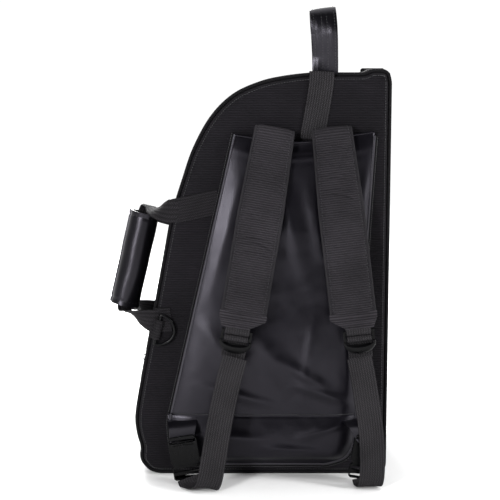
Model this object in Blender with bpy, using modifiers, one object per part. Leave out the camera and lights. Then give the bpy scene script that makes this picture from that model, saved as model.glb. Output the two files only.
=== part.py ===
"""Padded gig bag for a mid-size brass instrument, worn as a backpack.

The bag stands upright on its base. Its harness side faces -Y, its cover opens
towards +Y like a door on the straight spine at +X, and +Z is up. The origin is
the middle of the back half's base.
"""
import math

import bmesh
import bpy
from mathutils import Matrix, Vector

GAP = 0.0003                  # clearance between pieces that touch

# The case
CASE_HEIGHT = 0.613
SPINE_X = 0.192               # the straight right side
BELLY_X = -0.1945             # widest point of the left side
BACK_DEPTH = 0.100            # harness face to zip line
COVER_DEPTH_BASE = 0.180      # zip line to cover face, at the base
COVER_DEPTH_TOP = 0.090       # the same at the top
WALL = 0.012                  # padded wall
CORNER_R = 0.016              # spine corners
CORNER_STEPS = 4
TOE_R = 0.030                 # lower corner under the belly
PIPING_R = 0.0028
ZIP_HALF = 0.012              # one side of the zip, from gusset edge to zip line
TAPE_T = 0.003
TAPE_SINK = 0.002             # how far the zip tape lies under the gusset's face
BOARD_T = 0.003

# The harness panel
POCKET_GAP = 0.0058           # stow pocket behind the leather
LEATHER_T = 0.0028
BINDING_W = 0.007
PANEL_FRACTION_TOP = 0.853    # height of the panel's open top edge over case height
PANEL_FOOT = 0.021            # height of the panel's bottom edge

# Webbing and straps
WEB_W = 0.037
WEB_T = 0.0018
PAD_W = 0.064                 # padded shoulder strap
PAD_T = 0.014
ROOT_T = 0.004
PAD_TOP = PANEL_FRACTION_TOP * CASE_HEIGHT + 0.0043
PAD_FOOT = 0.252
PAD_DROP = 0.0325             # how far the strap's foot stands off the leather

# Buckles
LOCK_W = WEB_W + 0.009
LOCK_BAR = 0.004
LOCK_SLOT = 0.0065
LOCK_LIP = 0.010
LOCK_BOW = 0.014              # how far the lip's curve reaches down
LOOP_GAP = 0.0004             # webbing loop to the bar it runs round
DIAGONAL = math.sqrt(2)
BUCKLE_W = WEB_W + 0.006
BUCKLE_T = 0.0130
SOCKET_L = 0.044
PLUG_T = 0.0052
BUCKLE_TILT = math.radians(-9)

# Handle
WRAP_L = 0.149
WRAP_R = 0.0215               # half width of the leather roll
WRAP_T = 0.0030
WRAP_MOUTH = math.radians(14)  # half angle of the roll's open seam
WRAP_SEAM = math.radians(150)  # where the seam lies, from +X towards +Y
LOOP_T = 0.0036               # doubled webbing of the handle loops
GRIP_W = 0.022
HANDLE_TOP_Z = 0.408
HANDLE_FOOT_Z = 0.243
HANDLE_OUT = 0.047            # case side to the roll's middle
FRONT_DROP = 0.030            # how far the front loop's ends are sewn below the back loop's
WRAP_Y = 0.030
WRAP_LEAN = math.radians(2.5)  # how much more the roll leans than the case's side

# Haul loop
HAUL_X = 0.093
HAUL_W = 0.038
HAUL_T = 0.0035
HAUL_RISE = 0.092
HAUL_HALF_GAP = 0.015
HAUL_FOLD_RISE = 0.0045       # top of the case to the line the loop folds on
HAUL_SET_BACK = 0.008         # harness face to the loop's middle

# D-ring
RING_L = 0.046
RING_W = 0.025
RING_WIRE = 0.0020

# Zips
SLIDER_L = 0.014
SLIDER_W = 0.012
SLIDER_H = 0.0045
PULL_L = 0.036
PULL_W = 0.009
PULL_T = 0.0020
PULL_GAP = 0.0003              # slider face to pull
BRIDGE_W = 0.0024             # the slider's bridge, which holds the pull's top bar

# Cover pocket
POCKET_W = 0.250
POCKET_H = 0.300
POCKET_D = 0.034
POCKET_Z = 0.235
POCKET_WALL = 0.005
POCKET_ZIP_W = 0.011

HARNESS_Y = -BACK_DEPTH / 2
SPLIT_Y = BACK_DEPTH / 2
COVER_SLOPE = (COVER_DEPTH_BASE - COVER_DEPTH_TOP) / CASE_HEIGHT
LEATHER_Y = HARNESS_Y - POCKET_GAP     # inner face of the leather
LEATHER_FACE_Y = LEATHER_Y - LEATHER_T
# Straight stretch of the left side, where the zip sliders run
SIDE_TOP = Vector((-0.1375, 0, 0.400))
SIDE_FOOT = Vector((-0.1895, 0, 0.125))


def clear_scene():
    for item in list(bpy.data.objects):
        bpy.data.objects.remove(item, do_unlink=True)


def make_collection(name):
    collection = bpy.data.collections.new(name)
    bpy.context.scene.collection.children.link(collection)
    return collection


clear_scene()
PARTS = make_collection("gig_bag")
CUTTERS = make_collection("cutters")


def material(name, colour, roughness, metallic=0.0):
    made = bpy.data.materials.new(name)
    made.use_nodes = True
    shader = made.node_tree.nodes["Principled BSDF"]
    shader.inputs["Base Color"].default_value = (*colour, 1.0)
    shader.inputs["Roughness"].default_value = roughness
    shader.inputs["Metallic"].default_value = metallic
    return made


FABRIC = (0.018, 0.017, 0.020)
LEATHER = (0.035, 0.034, 0.040)
WEBBING = (0.030, 0.028, 0.030)
PLASTIC = (0.008, 0.008, 0.009)
STEEL = (0.03, 0.03, 0.035)
FINISHES = {
    "fabric": (FABRIC, 0.9, 0.0),
    "leather": (LEATHER, 0.35, 0.0),
    "webbing": (WEBBING, 0.85, 0.0),
    "plastic": (PLASTIC, 0.3, 0.0),
    "metal": (STEEL, 0.3, 1.0),
    "board": ((0.05, 0.05, 0.05), 0.6, 0.0),
}


def dress(item, finish, axis=None):
    """Links a piece, gives it its own material and hangs it on its joint's empty."""
    colour, roughness, metallic = FINISHES[finish]
    item.data.materials.clear()
    item.data.materials.append(material(item.name, colour, roughness, metallic))
    for held in list(item.users_collection):
        held.objects.unlink(item)
    PARTS.objects.link(item)
    if axis is not None:
        item.parent = axis
        item.matrix_parent_inverse = Matrix.Translation(-axis.location)
    return item


def joint_empty(name, place, parent=None):
    """An empty on a joint's axis; the pieces that the joint moves hang on it."""
    empty = bpy.data.objects.new(name, None)
    PARTS.objects.link(empty)
    empty.location = place
    if parent is not None:
        empty.parent = parent
        empty.matrix_parent_inverse = Matrix.Translation(-parent.location)
    return empty


def mesh_object(name, bm):
    mesh = bpy.data.meshes.new(name)
    bmesh.ops.recalc_face_normals(bm, faces=bm.faces)
    bm.to_mesh(mesh)
    bm.free()
    item = bpy.data.objects.new(name, mesh)
    PARTS.objects.link(item)
    return item


def bevel(item, width, segments=1):
    mod = item.modifiers.new("rounded", "BEVEL")
    mod.width = width
    mod.segments = segments
    mod.limit_method = "ANGLE"
    mod.angle_limit = math.radians(50)
    return item


def box(name, low, high, place=None):
    """A box between two corners, turned and moved by a matrix."""
    bm = bmesh.new()
    bmesh.ops.create_cube(bm, size=1)
    low, high = Vector(low), Vector(high)
    size = high - low
    bmesh.ops.scale(bm, vec=size, verts=bm.verts)
    bmesh.ops.translate(bm, vec=(low + high) / 2, verts=bm.verts)
    if place is not None:
        bm.transform(place)
    return mesh_object(name, bm)


def cutter(low, high, place=None):
    item = box("cutter", low, high, place)
    PARTS.objects.unlink(item)
    CUTTERS.objects.link(item)
    item.hide_render = True
    item.display_type = "WIRE"
    return item


def cut(item, *cutters):
    for number, tool in enumerate(cutters):
        mod = item.modifiers.new(f"cut_{number}", "BOOLEAN")
        mod.operation = "DIFFERENCE"
        mod.object = tool
    return item


def plate(name, outlines, y_low, y_high, place=None):
    """Flat outlines in XZ, the first one the rim and the rest holes, given their depth in Y."""
    curve = bpy.data.curves.new(name, "CURVE")
    curve.dimensions = "2D"
    curve.fill_mode = "BOTH"
    curve.extrude = (y_high - y_low) / 2
    for outline in outlines:
        spline = curve.splines.new("POLY")
        spline.points.add(len(outline) - 1)
        for point, (x, z) in zip(spline.points, outline):
            point.co = (x, z, 0, 1)
        spline.use_cyclic_u = True
    flat = bpy.data.objects.new("flat", curve)
    PARTS.objects.link(flat)
    bpy.context.view_layer.update()
    graph = bpy.context.evaluated_depsgraph_get()
    mesh = bpy.data.meshes.new_from_object(flat.evaluated_get(graph))
    bpy.data.objects.remove(flat, do_unlink=True)
    mesh.transform(Matrix.Translation((0, (y_low + y_high) / 2, 0)) @ Matrix.Rotation(math.pi / 2, 4, "X"))
    if place is not None:
        mesh.transform(place)
    bm = bmesh.new()
    bm.from_mesh(mesh)
    bmesh.ops.remove_doubles(bm, verts=bm.verts, dist=1e-6)
    bpy.data.meshes.remove(mesh)
    return mesh_object(name, bm)


def band(name, outline, depths, thickness, closed=True):
    """A wall that follows an outline in XZ between two depths, thickened inwards."""
    bm = bmesh.new()
    rings = []
    for depth in depths:
        rings.append([bm.verts.new((x, depth(z), z)) for x, z in outline])
    count = len(outline)
    for i in range(count if closed else count - 1):
        j = (i + 1) % count
        bm.faces.new((rings[0][i], rings[1][i], rings[1][j], rings[0][j]))
    mesh = bpy.data.meshes.new(name)
    bm.to_mesh(mesh)
    bm.free()
    item = bpy.data.objects.new(name, mesh)
    PARTS.objects.link(item)
    shell = item.modifiers.new("wall", "SOLIDIFY")
    shell.thickness = thickness
    shell.offset = -1
    shell.use_even_offset = True
    return item


def ribbon(name, route, side, width, thickness):
    """A strip of webbing or padding that follows a route, its width along side."""
    bm = bmesh.new()
    count = len(route)
    sides = side if isinstance(side, list) else [Vector(side).normalized()] * count
    widths = width if isinstance(width, list) else [width] * count
    rails = []
    for point, across, wide in zip(route, sides, widths):
        reach = across * (wide / 2)
        rails.append((bm.verts.new(Vector(point) - reach), bm.verts.new(Vector(point) + reach)))
    for (a, b), (c, d) in zip(rails, rails[1:]):
        bm.faces.new((a, b, d, c))
    item = mesh_object(name, bm)
    shell = item.modifiers.new("thickness", "SOLIDIFY")
    shell.thickness = thickness
    shell.offset = 0
    shell.use_even_offset = True
    return item


def tube(name, points, radius, closed=True):
    curve = bpy.data.curves.new(name, "CURVE")
    curve.dimensions = "3D"
    curve.bevel_depth = radius
    curve.bevel_resolution = 1
    curve.use_fill_caps = not closed
    spline = curve.splines.new("POLY")
    spline.points.add(len(points) - 1)
    for point, place in zip(spline.points, points):
        point.co = (*place, 1)
    spline.use_cyclic_u = closed
    item = bpy.data.objects.new(name, curve)
    PARTS.objects.link(item)
    return item


def arc(centre, radius, start, end, steps):
    """Points of an arc in XZ, angles in degrees from +X towards +Z."""
    made = []
    for i in range(steps + 1):
        angle = math.radians(start + (end - start) * i / steps)
        made.append((centre[0] + radius * math.cos(angle), centre[1] + radius * math.sin(angle)))
    return made


def smooth(points, steps):
    """A Catmull-Rom curve through points."""
    ends = [2 * Vector(points[0]) - Vector(points[1]), 2 * Vector(points[-1]) - Vector(points[-2])]
    knots = [ends[0], *[Vector(p) for p in points], ends[1]]
    made = []
    for i in range(1, len(knots) - 2):
        a, b, c, d = knots[i - 1: i + 3]
        for step in range(steps):
            t = step / steps
            made.append(0.5 * (2 * b + (c - a) * t + (2 * a - 5 * b + 4 * c - d) * t ** 2
                               + (3 * b - a - 3 * c + d) * t ** 3))
    made.append(knots[-2])
    return made


def inset(outline, distance):
    """The outline moved inwards; outlines run anticlockwise in XZ."""
    made = []
    count = len(outline)
    for i, here in enumerate(outline):
        before = Vector(here) - Vector(outline[i - 1])
        after = Vector(outline[(i + 1) % count]) - Vector(here)
        normal_a = Vector((-before.y, before.x)).normalized()
        normal_b = Vector((-after.y, after.x)).normalized()
        middle = (normal_a + normal_b).normalized()
        reach = distance / max(0.5, middle.dot(normal_a))
        made.append((here[0] + middle.x * reach, here[1] + middle.y * reach))
    return made


def side_x(z):
    """The case's left side on its straight stretch."""
    share = (z - SIDE_FOOT.z) / (SIDE_TOP.z - SIDE_FOOT.z)
    return SIDE_FOOT.x + (SIDE_TOP.x - SIDE_FOOT.x) * share


def case_outline():
    """The case seen from the harness side, anticlockwise from the spine's foot."""
    height, spine = CASE_HEIGHT, SPINE_X
    points = arc((spine - CORNER_R, CORNER_R), CORNER_R, -90, 0, CORNER_STEPS)
    points += [(spine, height * 0.25), (spine, height * 0.5), (spine, height * 0.75)]
    points += arc((spine - CORNER_R, height - CORNER_R), CORNER_R, 0, 90, CORNER_STEPS)
    shoulder = [(spine - 0.119, height), (0.036, height - 0.0045), (-0.0018, height - 0.0125),
                (-0.043, height - 0.031), (-0.0765, height - 0.064), (-0.1035, height - 0.112),
                (-0.1205, height - 0.160), (SIDE_TOP.x, SIDE_TOP.z)]
    points += [(p.x, p.y) for p in smooth([Vector(p) for p in shoulder], 3)]
    points += [(side_x(z), z) for z in (0.33, 0.26, 0.19)]
    belly = [(SIDE_FOOT.x, SIDE_FOOT.z), (BELLY_X, 0.088), (BELLY_X + 0.0035, 0.062),
             (BELLY_X + 0.0075, 0.042)]
    points += [(p.x, p.y) for p in smooth([Vector(p) for p in belly], 2)]
    toe = BELLY_X + 0.0078
    points += arc((toe + TOE_R, TOE_R), TOE_R, 180, 270, 5)
    points += [(toe + TOE_R + (spine - CORNER_R - toe - TOE_R) * k / 3, 0.0) for k in (1, 2)]
    return points


def cover_face(z):
    """Depth of the cover's outer face at a height."""
    return SPLIT_Y + COVER_DEPTH_BASE - COVER_SLOPE * z


SHEAR_TO_COVER = Matrix(((1, 0, 0, 0), (0, 1, -COVER_SLOPE, SPLIT_Y + COVER_DEPTH_BASE),
                         (0, 0, 1, 0), (0, 0, 0, 1)))


def zip_route():
    """The outline without its straight spine, from the spine's top corner round to its foot."""
    outline = case_outline()
    first = next(i for i, (x, z) in enumerate(outline) if z >= CASE_HEIGHT - CORNER_R - 1e-6)
    return outline[first:] + outline[:CORNER_STEPS + 1]


def build_back_half():
    outline = case_outline()
    inner = inset(outline, 2 * PIPING_R + GAP)
    dress(plate("back_panel", [inner], HARNESS_Y, HARNESS_Y + WALL), "fabric")
    seam_y = HARNESS_Y + WALL
    depths = (lambda z: seam_y + GAP, lambda z: SPLIT_Y - ZIP_HALF)
    dress(band("back_gusset", outline, depths, WALL), "fabric")
    welt = [(x, seam_y - PIPING_R, z) for x, z in inset(outline, PIPING_R)]
    dress(tube("back_piping", welt, PIPING_R), "leather")
    route = inset(zip_route(), TAPE_SINK)
    edges = (lambda z: SPLIT_Y - ZIP_HALF + GAP, lambda z: SPLIT_Y - GAP)
    dress(band("zip_tape_back", route, edges, TAPE_T, closed=False), "webbing")
    dress(spine_strip("spine_hinge_back", SPLIT_Y - ZIP_HALF + GAP, SPLIT_Y - GAP), "fabric")
    low = (BELLY_X + TOE_R + 0.012, HARNESS_Y + WALL + 2 * GAP, WALL + GAP)
    high = (SPINE_X - CORNER_R - 0.006, SPLIT_Y - ZIP_HALF, WALL + GAP + BOARD_T)
    dress(box("base_board_back", low, high), "board")


def spine_strip(name, y_low, y_high):
    end = CORNER_R + 0.002
    low = (SPINE_X - TAPE_SINK - TAPE_T, y_low, end)
    high = (SPINE_X - TAPE_SINK, y_high, CASE_HEIGHT - end)
    return box(name, low, high)


def build_cover(axis):
    outline = case_outline()
    inner = inset(outline, 2 * PIPING_R + GAP)
    dress(plate("cover_panel", [inner], -WALL, 0, SHEAR_TO_COVER), "fabric", axis)
    depths = (lambda z: SPLIT_Y + ZIP_HALF, lambda z: cover_face(0))
    gusset = band("cover_gusset", outline, depths, WALL)
    beyond = cutter((-1, -WALL - GAP, -0.1), (1, 0.2, CASE_HEIGHT + 0.1), SHEAR_TO_COVER)
    dress(cut(gusset, beyond), "fabric", axis)
    welt = [(x, cover_face(z) - WALL + 1.02 * PIPING_R, z) for x, z in inset(outline, PIPING_R)]
    dress(tube("cover_piping", welt, PIPING_R), "leather", axis)
    route = inset(zip_route(), TAPE_SINK)
    edges = (lambda z: SPLIT_Y + GAP, lambda z: SPLIT_Y + ZIP_HALF - GAP)
    dress(band("zip_tape_cover", route, edges, TAPE_T, closed=False), "webbing", axis)
    dress(spine_strip("spine_hinge_cover", SPLIT_Y + GAP, SPLIT_Y + ZIP_HALF - GAP), "fabric", axis)
    low = (BELLY_X + TOE_R + 0.012, SPLIT_Y + ZIP_HALF, WALL + GAP)
    high = (SPINE_X - CORNER_R - 0.006, cover_face(WALL) - WALL - 3 * GAP, WALL + GAP + BOARD_T)
    dress(box("base_board_cover", low, high), "board", axis)


def panel_outline():
    """The leather harness panel: straight slanted sides, an open top and rounded lower corners."""
    top = CASE_HEIGHT * PANEL_FRACTION_TOP
    foot = PANEL_FOOT
    rim = [(-0.112, foot), (0.094, foot)]
    rim += [(0.117, foot + 0.007), (0.134, foot + 0.025), (0.1415, foot + 0.052)]
    rim += [(0.1565, top - 0.143), (0.1655, top + 0.004)]
    rim += [(0.060, top - 0.011), (0.014, top - 0.011)]
    rim += [(-0.0395, top), (-0.1408, foot + 0.067), (-0.1375, foot + 0.040), (-0.126, foot + 0.010)]
    return rim


def panel_side_x(z):
    """The leather's slanted left edge."""
    top, foot = CASE_HEIGHT * PANEL_FRACTION_TOP, PANEL_FOOT + 0.067
    return -0.1408 + (z - foot) / (top - foot) * (0.1408 - 0.0395)


def build_harness_panel():
    rim = panel_outline()
    dress(plate("harness_panel", [rim], LEATHER_FACE_Y, LEATHER_Y), "leather")
    # The sewn edge: a U-shaped spacer behind the leather's sides and foot, open at the top
    inner = inset(rim, BINDING_W)
    open_side = 7
    spacer = rim[open_side + 2:] + rim[:open_side] + list(reversed(inner[open_side + 2:] + inner[:open_side]))
    dress(plate("harness_panel_binding", [spacer], LEATHER_Y + GAP, HARNESS_Y - GAP), "leather")
    top = (0.0877, CASE_HEIGHT - 0.011)
    foot = (0.0750, CASE_HEIGHT * PANEL_FRACTION_TOP + 0.002)
    half = WEB_W / 2
    strip = [(foot[0] - half, foot[1]), (foot[0] + half, foot[1]),
             (top[0] + half, top[1]), (top[0] - half, top[1])]
    dress(plate("top_webbing", [strip], HARNESS_Y - WEB_T - GAP, HARNESS_Y - GAP), "webbing")


# Each strap: padded part from top to foot, then webbing down to the floor and up to its buckle.
# Webbing and buckle places are X, distance out from the harness face, and Z.
STRAPS = {
    "left": {"top_x": 0.018, "foot_x": -0.029, "lock_x": -0.037, "flip": 1,
             "web": [(-0.0400, 0.0500, 0.196), (-0.0488, 0.0580, 0.165), (-0.0590, 0.0650, 0.120),
                     (-0.0656, 0.0720, 0.085), (-0.0722, 0.0780, 0.045), (-0.0765, 0.0805, 0.022),
                     (-0.0815, 0.0785, 0.0085), (-0.0895, 0.0700, 0.0025), (-0.1000, 0.0580, 0.0020),
                     (-0.1060, 0.0495, 0.0045), (-0.1090, 0.0457, 0.0120)],
             "buckle": (-0.1135, 0.0400, 0.0310), "anchor_foot": (-0.1235, 0.0955)},
    "right": {"top_x": 0.102, "foot_x": 0.135, "lock_x": 0.142, "flip": -1,
              "web": [(0.1430, 0.0500, 0.196), (0.1490, 0.0560, 0.165), (0.1560, 0.0610, 0.120),
                      (0.1605, 0.0660, 0.085), (0.1625, 0.0700, 0.045), (0.1620, 0.0705, 0.022),
                      (0.1600, 0.0690, 0.0085), (0.1590, 0.0630, 0.0025), (0.1565, 0.0560, 0.0020),
                      (0.1545, 0.0495, 0.0045), (0.1530, 0.0457, 0.0120)],
              "buckle": (0.1540, 0.0400, 0.0310), "anchor_foot": (0.1395, 0.0955)},
}


def from_face(place):
    """A point given as X, distance out from the harness face, and Z."""
    x, out, z = place
    return Vector((x, HARNESS_Y - out, z))


def strap_side(strap):
    """Unit vector across a strap's padded part, towards +X."""
    run = Vector((strap["foot_x"] - strap["top_x"], 0, PAD_FOOT - PAD_TOP)).normalized()
    return Vector((-run.z, 0, run.x))


def build_strap(hand, strap):
    side = strap_side(strap)
    slope = (strap["foot_x"] - strap["top_x"]) / (PAD_FOOT - PAD_TOP)

    def axis_x(z):
        return strap["top_x"] + (z - PAD_TOP) * slope

    back = LEATHER_FACE_Y - 2 * GAP
    # From behind the leather over its top edge: distance from the harness face, height from PAD_TOP
    root = [(0.0029, -0.0570), (0.0029, -0.0120), (0.0050, -0.0020), (0.0105, 0.0035), (0.0180, 0.0042)]
    route = [(axis_x(PAD_TOP + up), HARNESS_Y - out, PAD_TOP + up) for out, up in root]
    item = ribbon(f"strap_root_{hand}", route, side, PAD_W - 0.010, ROOT_T)
    dress(item, "fabric")
    drops = [(0.0, 0.0080), (0.10, 0.0095), (0.25, 0.0150), (0.45, 0.0230), (0.65, 0.0290), (0.85, 0.0320),
             (1.0, PAD_DROP)]
    route = []
    for share, off in drops:
        z = PAD_TOP + (PAD_FOOT - PAD_TOP) * share
        route.append((axis_x(z), back - off, z))
    dress(bevel(ribbon(f"shoulder_strap_{hand}", route, side, PAD_W, PAD_T), 0.003, 1), "fabric")

    # A triangular tab carries the ladder lock below the padding
    tilt = Matrix.Translation((strap["foot_x"], back - PAD_DROP, PAD_FOOT)) @ Matrix.Rotation(
        math.atan2(side.z, side.x) * -1, 4, "Y")
    half, low = PAD_W / 2 - 0.002, WEB_W / 2
    tab = [(-half, -GAP * 2), (-low, -0.010), (low, -0.010), (half, -GAP * 2)]
    dress(plate(f"strap_end_tab_{hand}", [tab], -0.003, 0.003, tilt), "fabric")
    build_ladder_lock(hand, Vector((strap["lock_x"], back - PAD_DROP, PAD_FOOT - 0.0185)), side)
    # The turn along the floor lies level
    level = 6
    sides = [side] * (len(strap["web"]) - level) + [Vector((1, 0, 0))] * level
    web = [from_face(place) for place in strap["web"]]
    dress(ribbon(f"strap_webbing_{hand}", web, sides, WEB_W, WEB_T), "webbing")
    build_buckle(hand, strap)


def build_ladder_lock(hand, pivot, side):
    """Three bars in a frame; it tilts about its top bar, which a webbing loop holds."""
    place = Matrix.Translation(pivot) @ Matrix.Rotation(-math.atan2(side.z, side.x), 4, "Y")
    axis = joint_empty(f"ladder_lock_axis_{hand}", pivot)
    half, bar, slot = LOCK_W / 2, LOCK_BAR / 2, LOCK_SLOT
    lip = bar + 2 * slot + LOCK_BAR + LOCK_LIP
    # The lip below the lowest bar is half an ellipse
    bow = lip - LOCK_BOW
    rim = [(-half, bar)]
    rim += [(half * x, -bow + LOCK_BOW * z) for x, z in arc((0, 0), 1, 180, 360, 10)]
    rim += [(half, bar)]
    eye = WEB_W / 2 + 0.0012
    upper = [(-eye, -bar), (eye, -bar), (eye, -bar - slot), (-eye, -bar - slot)]
    drop = bar + slot + LOCK_BAR
    lower = [(-eye, -drop), (eye, -drop), (eye, -drop - slot), (-eye, -drop - slot)]
    dress(plate(f"ladder_lock_{hand}", [rim, upper, lower], -bar, bar, place), "plastic", axis)
    # Webbing loop round the top bar, on the strap
    radius = bar * DIAGONAL + WEB_T / 2 + LOOP_GAP
    loop = [(0, -radius, 0.0062)]
    loop += [(0, -radius * math.cos(a), -radius * math.sin(a)) for a in [math.pi * k / 6 for k in range(7)]]
    loop += [(0, radius, 0.0062)]
    route = [place @ Vector(p) for p in loop]
    dress(ribbon(f"lock_loop_{hand}", route, side, WEB_W, WEB_T), "webbing")
    # The strap's bight over the middle bar goes with the lock
    mid = -(bar + slot + LOCK_BAR / 2)
    reach = LOCK_BAR / 2 * DIAGONAL + WEB_T / 2 + LOOP_GAP
    bight = [(0, reach + LOOP_GAP, mid - 0.0150), (0, reach, mid - 0.006)]
    bight += [(0, reach * math.cos(a), mid + reach * math.sin(a)) for a in [math.pi * k / 6 for k in range(7)]]
    bight += [(0, -reach, mid - 0.0025)]
    keep = [place @ Vector(p) for p in bight]
    dress(ribbon(f"webbing_bight_{hand}", keep, side, WEB_W - 0.001, WEB_T), "webbing", axis)


def build_buckle(hand, strap):
    """Side-release buckle: the socket hangs on the panel's corner and slides off the plug."""
    centre = from_face(strap["buckle"])
    turn = Matrix.Rotation(BUCKLE_TILT * strap["flip"], 4, "Y")
    place = Matrix.Translation(centre) @ turn
    axis = joint_empty(f"buckle_axis_{hand}", centre)
    half, thick = BUCKLE_W / 2, BUCKLE_T / 2
    top = SOCKET_L
    rim = [(-half + 0.003, 0), (half - 0.003, 0), (half, 0.006), (half, top - 0.006), (half - 0.004, top),
           (-half + 0.004, top), (-half, top - 0.006), (-half, 0.006)]
    eye = WEB_W / 2 + 0.0010
    slot = [(-eye, top - 0.0095), (eye, top - 0.0095), (eye, top - 0.0045), (-eye, top - 0.0045)]
    socket = plate(f"buckle_socket_{hand}", [rim, slot], -thick, thick, place)
    throat = BUCKLE_W / 2 - 0.0042
    cut(socket, cutter((-throat, -0.0040, -0.010), (throat, 0.0040, 0.0290), place),
        cutter((-half - 0.01, -0.0033, 0.0100), (half + 0.01, 0.0033, 0.0215), place))
    dress(socket, "plastic", axis)
    flat = PLUG_T / 2
    prong = throat - 0.0010
    plug = [(-half, -0.0035), (-half, -0.0210), (-half + 0.003, -0.0235), (half - 0.003, -0.0235),
            (half, -0.0210), (half, -0.0035), (half - 0.003, -0.0010), (prong - 0.0015, -0.0010),
            (prong - 0.0015, 0.0120),
            (prong, 0.0125), (prong - 0.0010, 0.0215), (prong - 0.0040, 0.0270), (prong - 0.0055, 0.0240),
            (prong - 0.0055, 0.0030), (0.0035, 0.0030), (0.0025, 0.0260), (-0.0025, 0.0260), (-0.0035, 0.0030),
            (-prong + 0.0055, 0.0030), (-prong + 0.0055, 0.0240), (-prong + 0.0040, 0.0270),
            (-prong + 0.0010, 0.0215), (-prong, 0.0125), (-prong + 0.0015, 0.0120), (-prong + 0.0015, -0.0010),
            (-half + 0.003, -0.0010)]
    plug_holes = [[(-eye, -0.0205), (eye, -0.0205), (eye, -0.0160), (-eye, -0.0160)],
                  [(-eye, -0.0105), (eye, -0.0105), (eye, -0.0055), (-eye, -0.0055)]]
    dress(plate(f"buckle_plug_{hand}", [plug, *plug_holes], -flat, flat, place), "plastic")
    # Short webbing from under the panel's corner to the socket's bar
    bar = place @ Vector((0, 0, top + 0.0012))
    corner = Vector((strap["anchor_foot"][0], LEATHER_FACE_Y - WEB_T / 2 - GAP, strap["anchor_foot"][1]))
    middle = (bar + corner) / 2 + Vector((0, -0.002, 0.0025))
    across = turn @ Vector((1, 0, 0))
    dress(ribbon(f"buckle_anchor_{hand}", [corner, middle, bar], across, WEB_W - 0.002, WEB_T), "webbing")


def handle_frame():
    """The leather roll's place: its length along local Z, nearly parallel to the case's side."""
    lean = math.atan2(SIDE_TOP.x - SIDE_FOOT.x, SIDE_TOP.z - SIDE_FOOT.z) + WRAP_LEAN
    z = (HANDLE_TOP_Z + HANDLE_FOOT_Z) / 2
    return Matrix.Translation((side_x(z) - HANDLE_OUT, WRAP_Y, z)) @ Matrix.Rotation(lean, 4, "Y"), lean


def build_handle(back_axis, front_axis):
    place, lean = handle_frame()
    # The roll is a C in section, wrapped round the back loop's grip
    outer, inner = [], []
    steps = 16
    start = WRAP_SEAM + WRAP_MOUTH
    sweep = 2 * (math.pi - WRAP_MOUTH)
    for i in range(steps + 1):
        angle = start + sweep * i / steps
        outer.append((WRAP_R * math.cos(angle), 0.85 * WRAP_R * math.sin(angle)))
        reach = WRAP_R - WRAP_T
        inner.append((reach * math.cos(angle), 0.85 * reach * math.sin(angle)))
    section = outer + list(reversed(inner))
    lay = place @ Matrix.Rotation(math.pi / 2, 4, "X")
    flip = Matrix.Scale(-1, 4, (0, 1, 0))
    wrap = plate("handle_wrap", [[(x, -y) for x, y in section]], -WRAP_L / 2, WRAP_L / 2, lay @ flip)
    dress(wrap, "leather", back_axis)

    grip = WRAP_L / 2 + 0.004
    across = place.to_3x3() @ Vector((1, 0, 0))
    edge_y = HARNESS_Y - WEB_T / 2 - GAP
    # Back loop: flat on the harness side, round the case's edge, through the roll and back
    inside = [place @ Vector((0, 0, z)) for z in (grip, 0.03, -0.03, -grip)]
    upper = Vector((side_x(HANDLE_TOP_Z) - 0.004, edge_y, HANDLE_TOP_Z))
    lower = Vector((side_x(HANDLE_FOOT_Z) - 0.004, edge_y, HANDLE_FOOT_Z))
    route = [upper, upper.lerp(inside[0], 0.35) + Vector((-0.006, -0.004, 0.001)),
             upper.lerp(inside[0], 0.75) + Vector((0.001, 0, 0.004)), *inside,
             lower.lerp(inside[3], 0.75) + Vector((0.001, 0, -0.004)),
             lower.lerp(inside[3], 0.35) + Vector((-0.006, -0.004, -0.001)), lower]
    along = Vector((math.sin(lean), 0, math.cos(lean)))
    sides = turned_sides(along, across, len(route))
    width = [WEB_W * 0.95, WEB_W * 0.70, *[GRIP_W] * 6, WEB_W * 0.70, WEB_W * 0.95]
    dress(ribbon("handle_loop_back", route, sides, width, LOOP_T), "webbing", back_axis)

    # Front loop: from the cover's edge, its grip lying against the roll
    front_grip_y = 0.85 * WRAP_R + LOOP_T / 2 + 0.003
    inside = [place @ Vector((0, front_grip_y, z)) for z in (grip, 0.03, -0.03, -grip)]
    ends = []
    for z in (HANDLE_TOP_Z - FRONT_DROP, HANDLE_FOOT_Z - FRONT_DROP):
        ends.append(Vector((side_x(z) - 0.004, cover_face(z) + WEB_T / 2 + GAP, z)))
    upper, lower = ends
    route = [upper, upper.lerp(inside[0], 0.35) + Vector((-0.014, 0.004, -0.004)),
             upper.lerp(inside[0], 0.75) + Vector((-0.004, 0, 0.002)), *inside,
             lower.lerp(inside[3], 0.75) + Vector((-0.004, 0, -0.006)),
             lower.lerp(inside[3], 0.35) + Vector((-0.014, 0.004, 0)), lower]
    dress(ribbon("handle_loop_front", route, sides, width, LOOP_T), "webbing", front_axis)


def turned_sides(along, across, count):
    """Width directions of a handle loop: along the case's edge at both ends, across the grip between."""
    made = []
    for i in range(count):
        near = min(i, count - 1 - i)
        if near == 0:
            way = along if i == 0 else -along
        elif near == 1:
            way = (along + across).normalized() if i == 1 else (across - along).normalized()
        else:
            way = across
        made.append(way)
    return made


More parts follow.
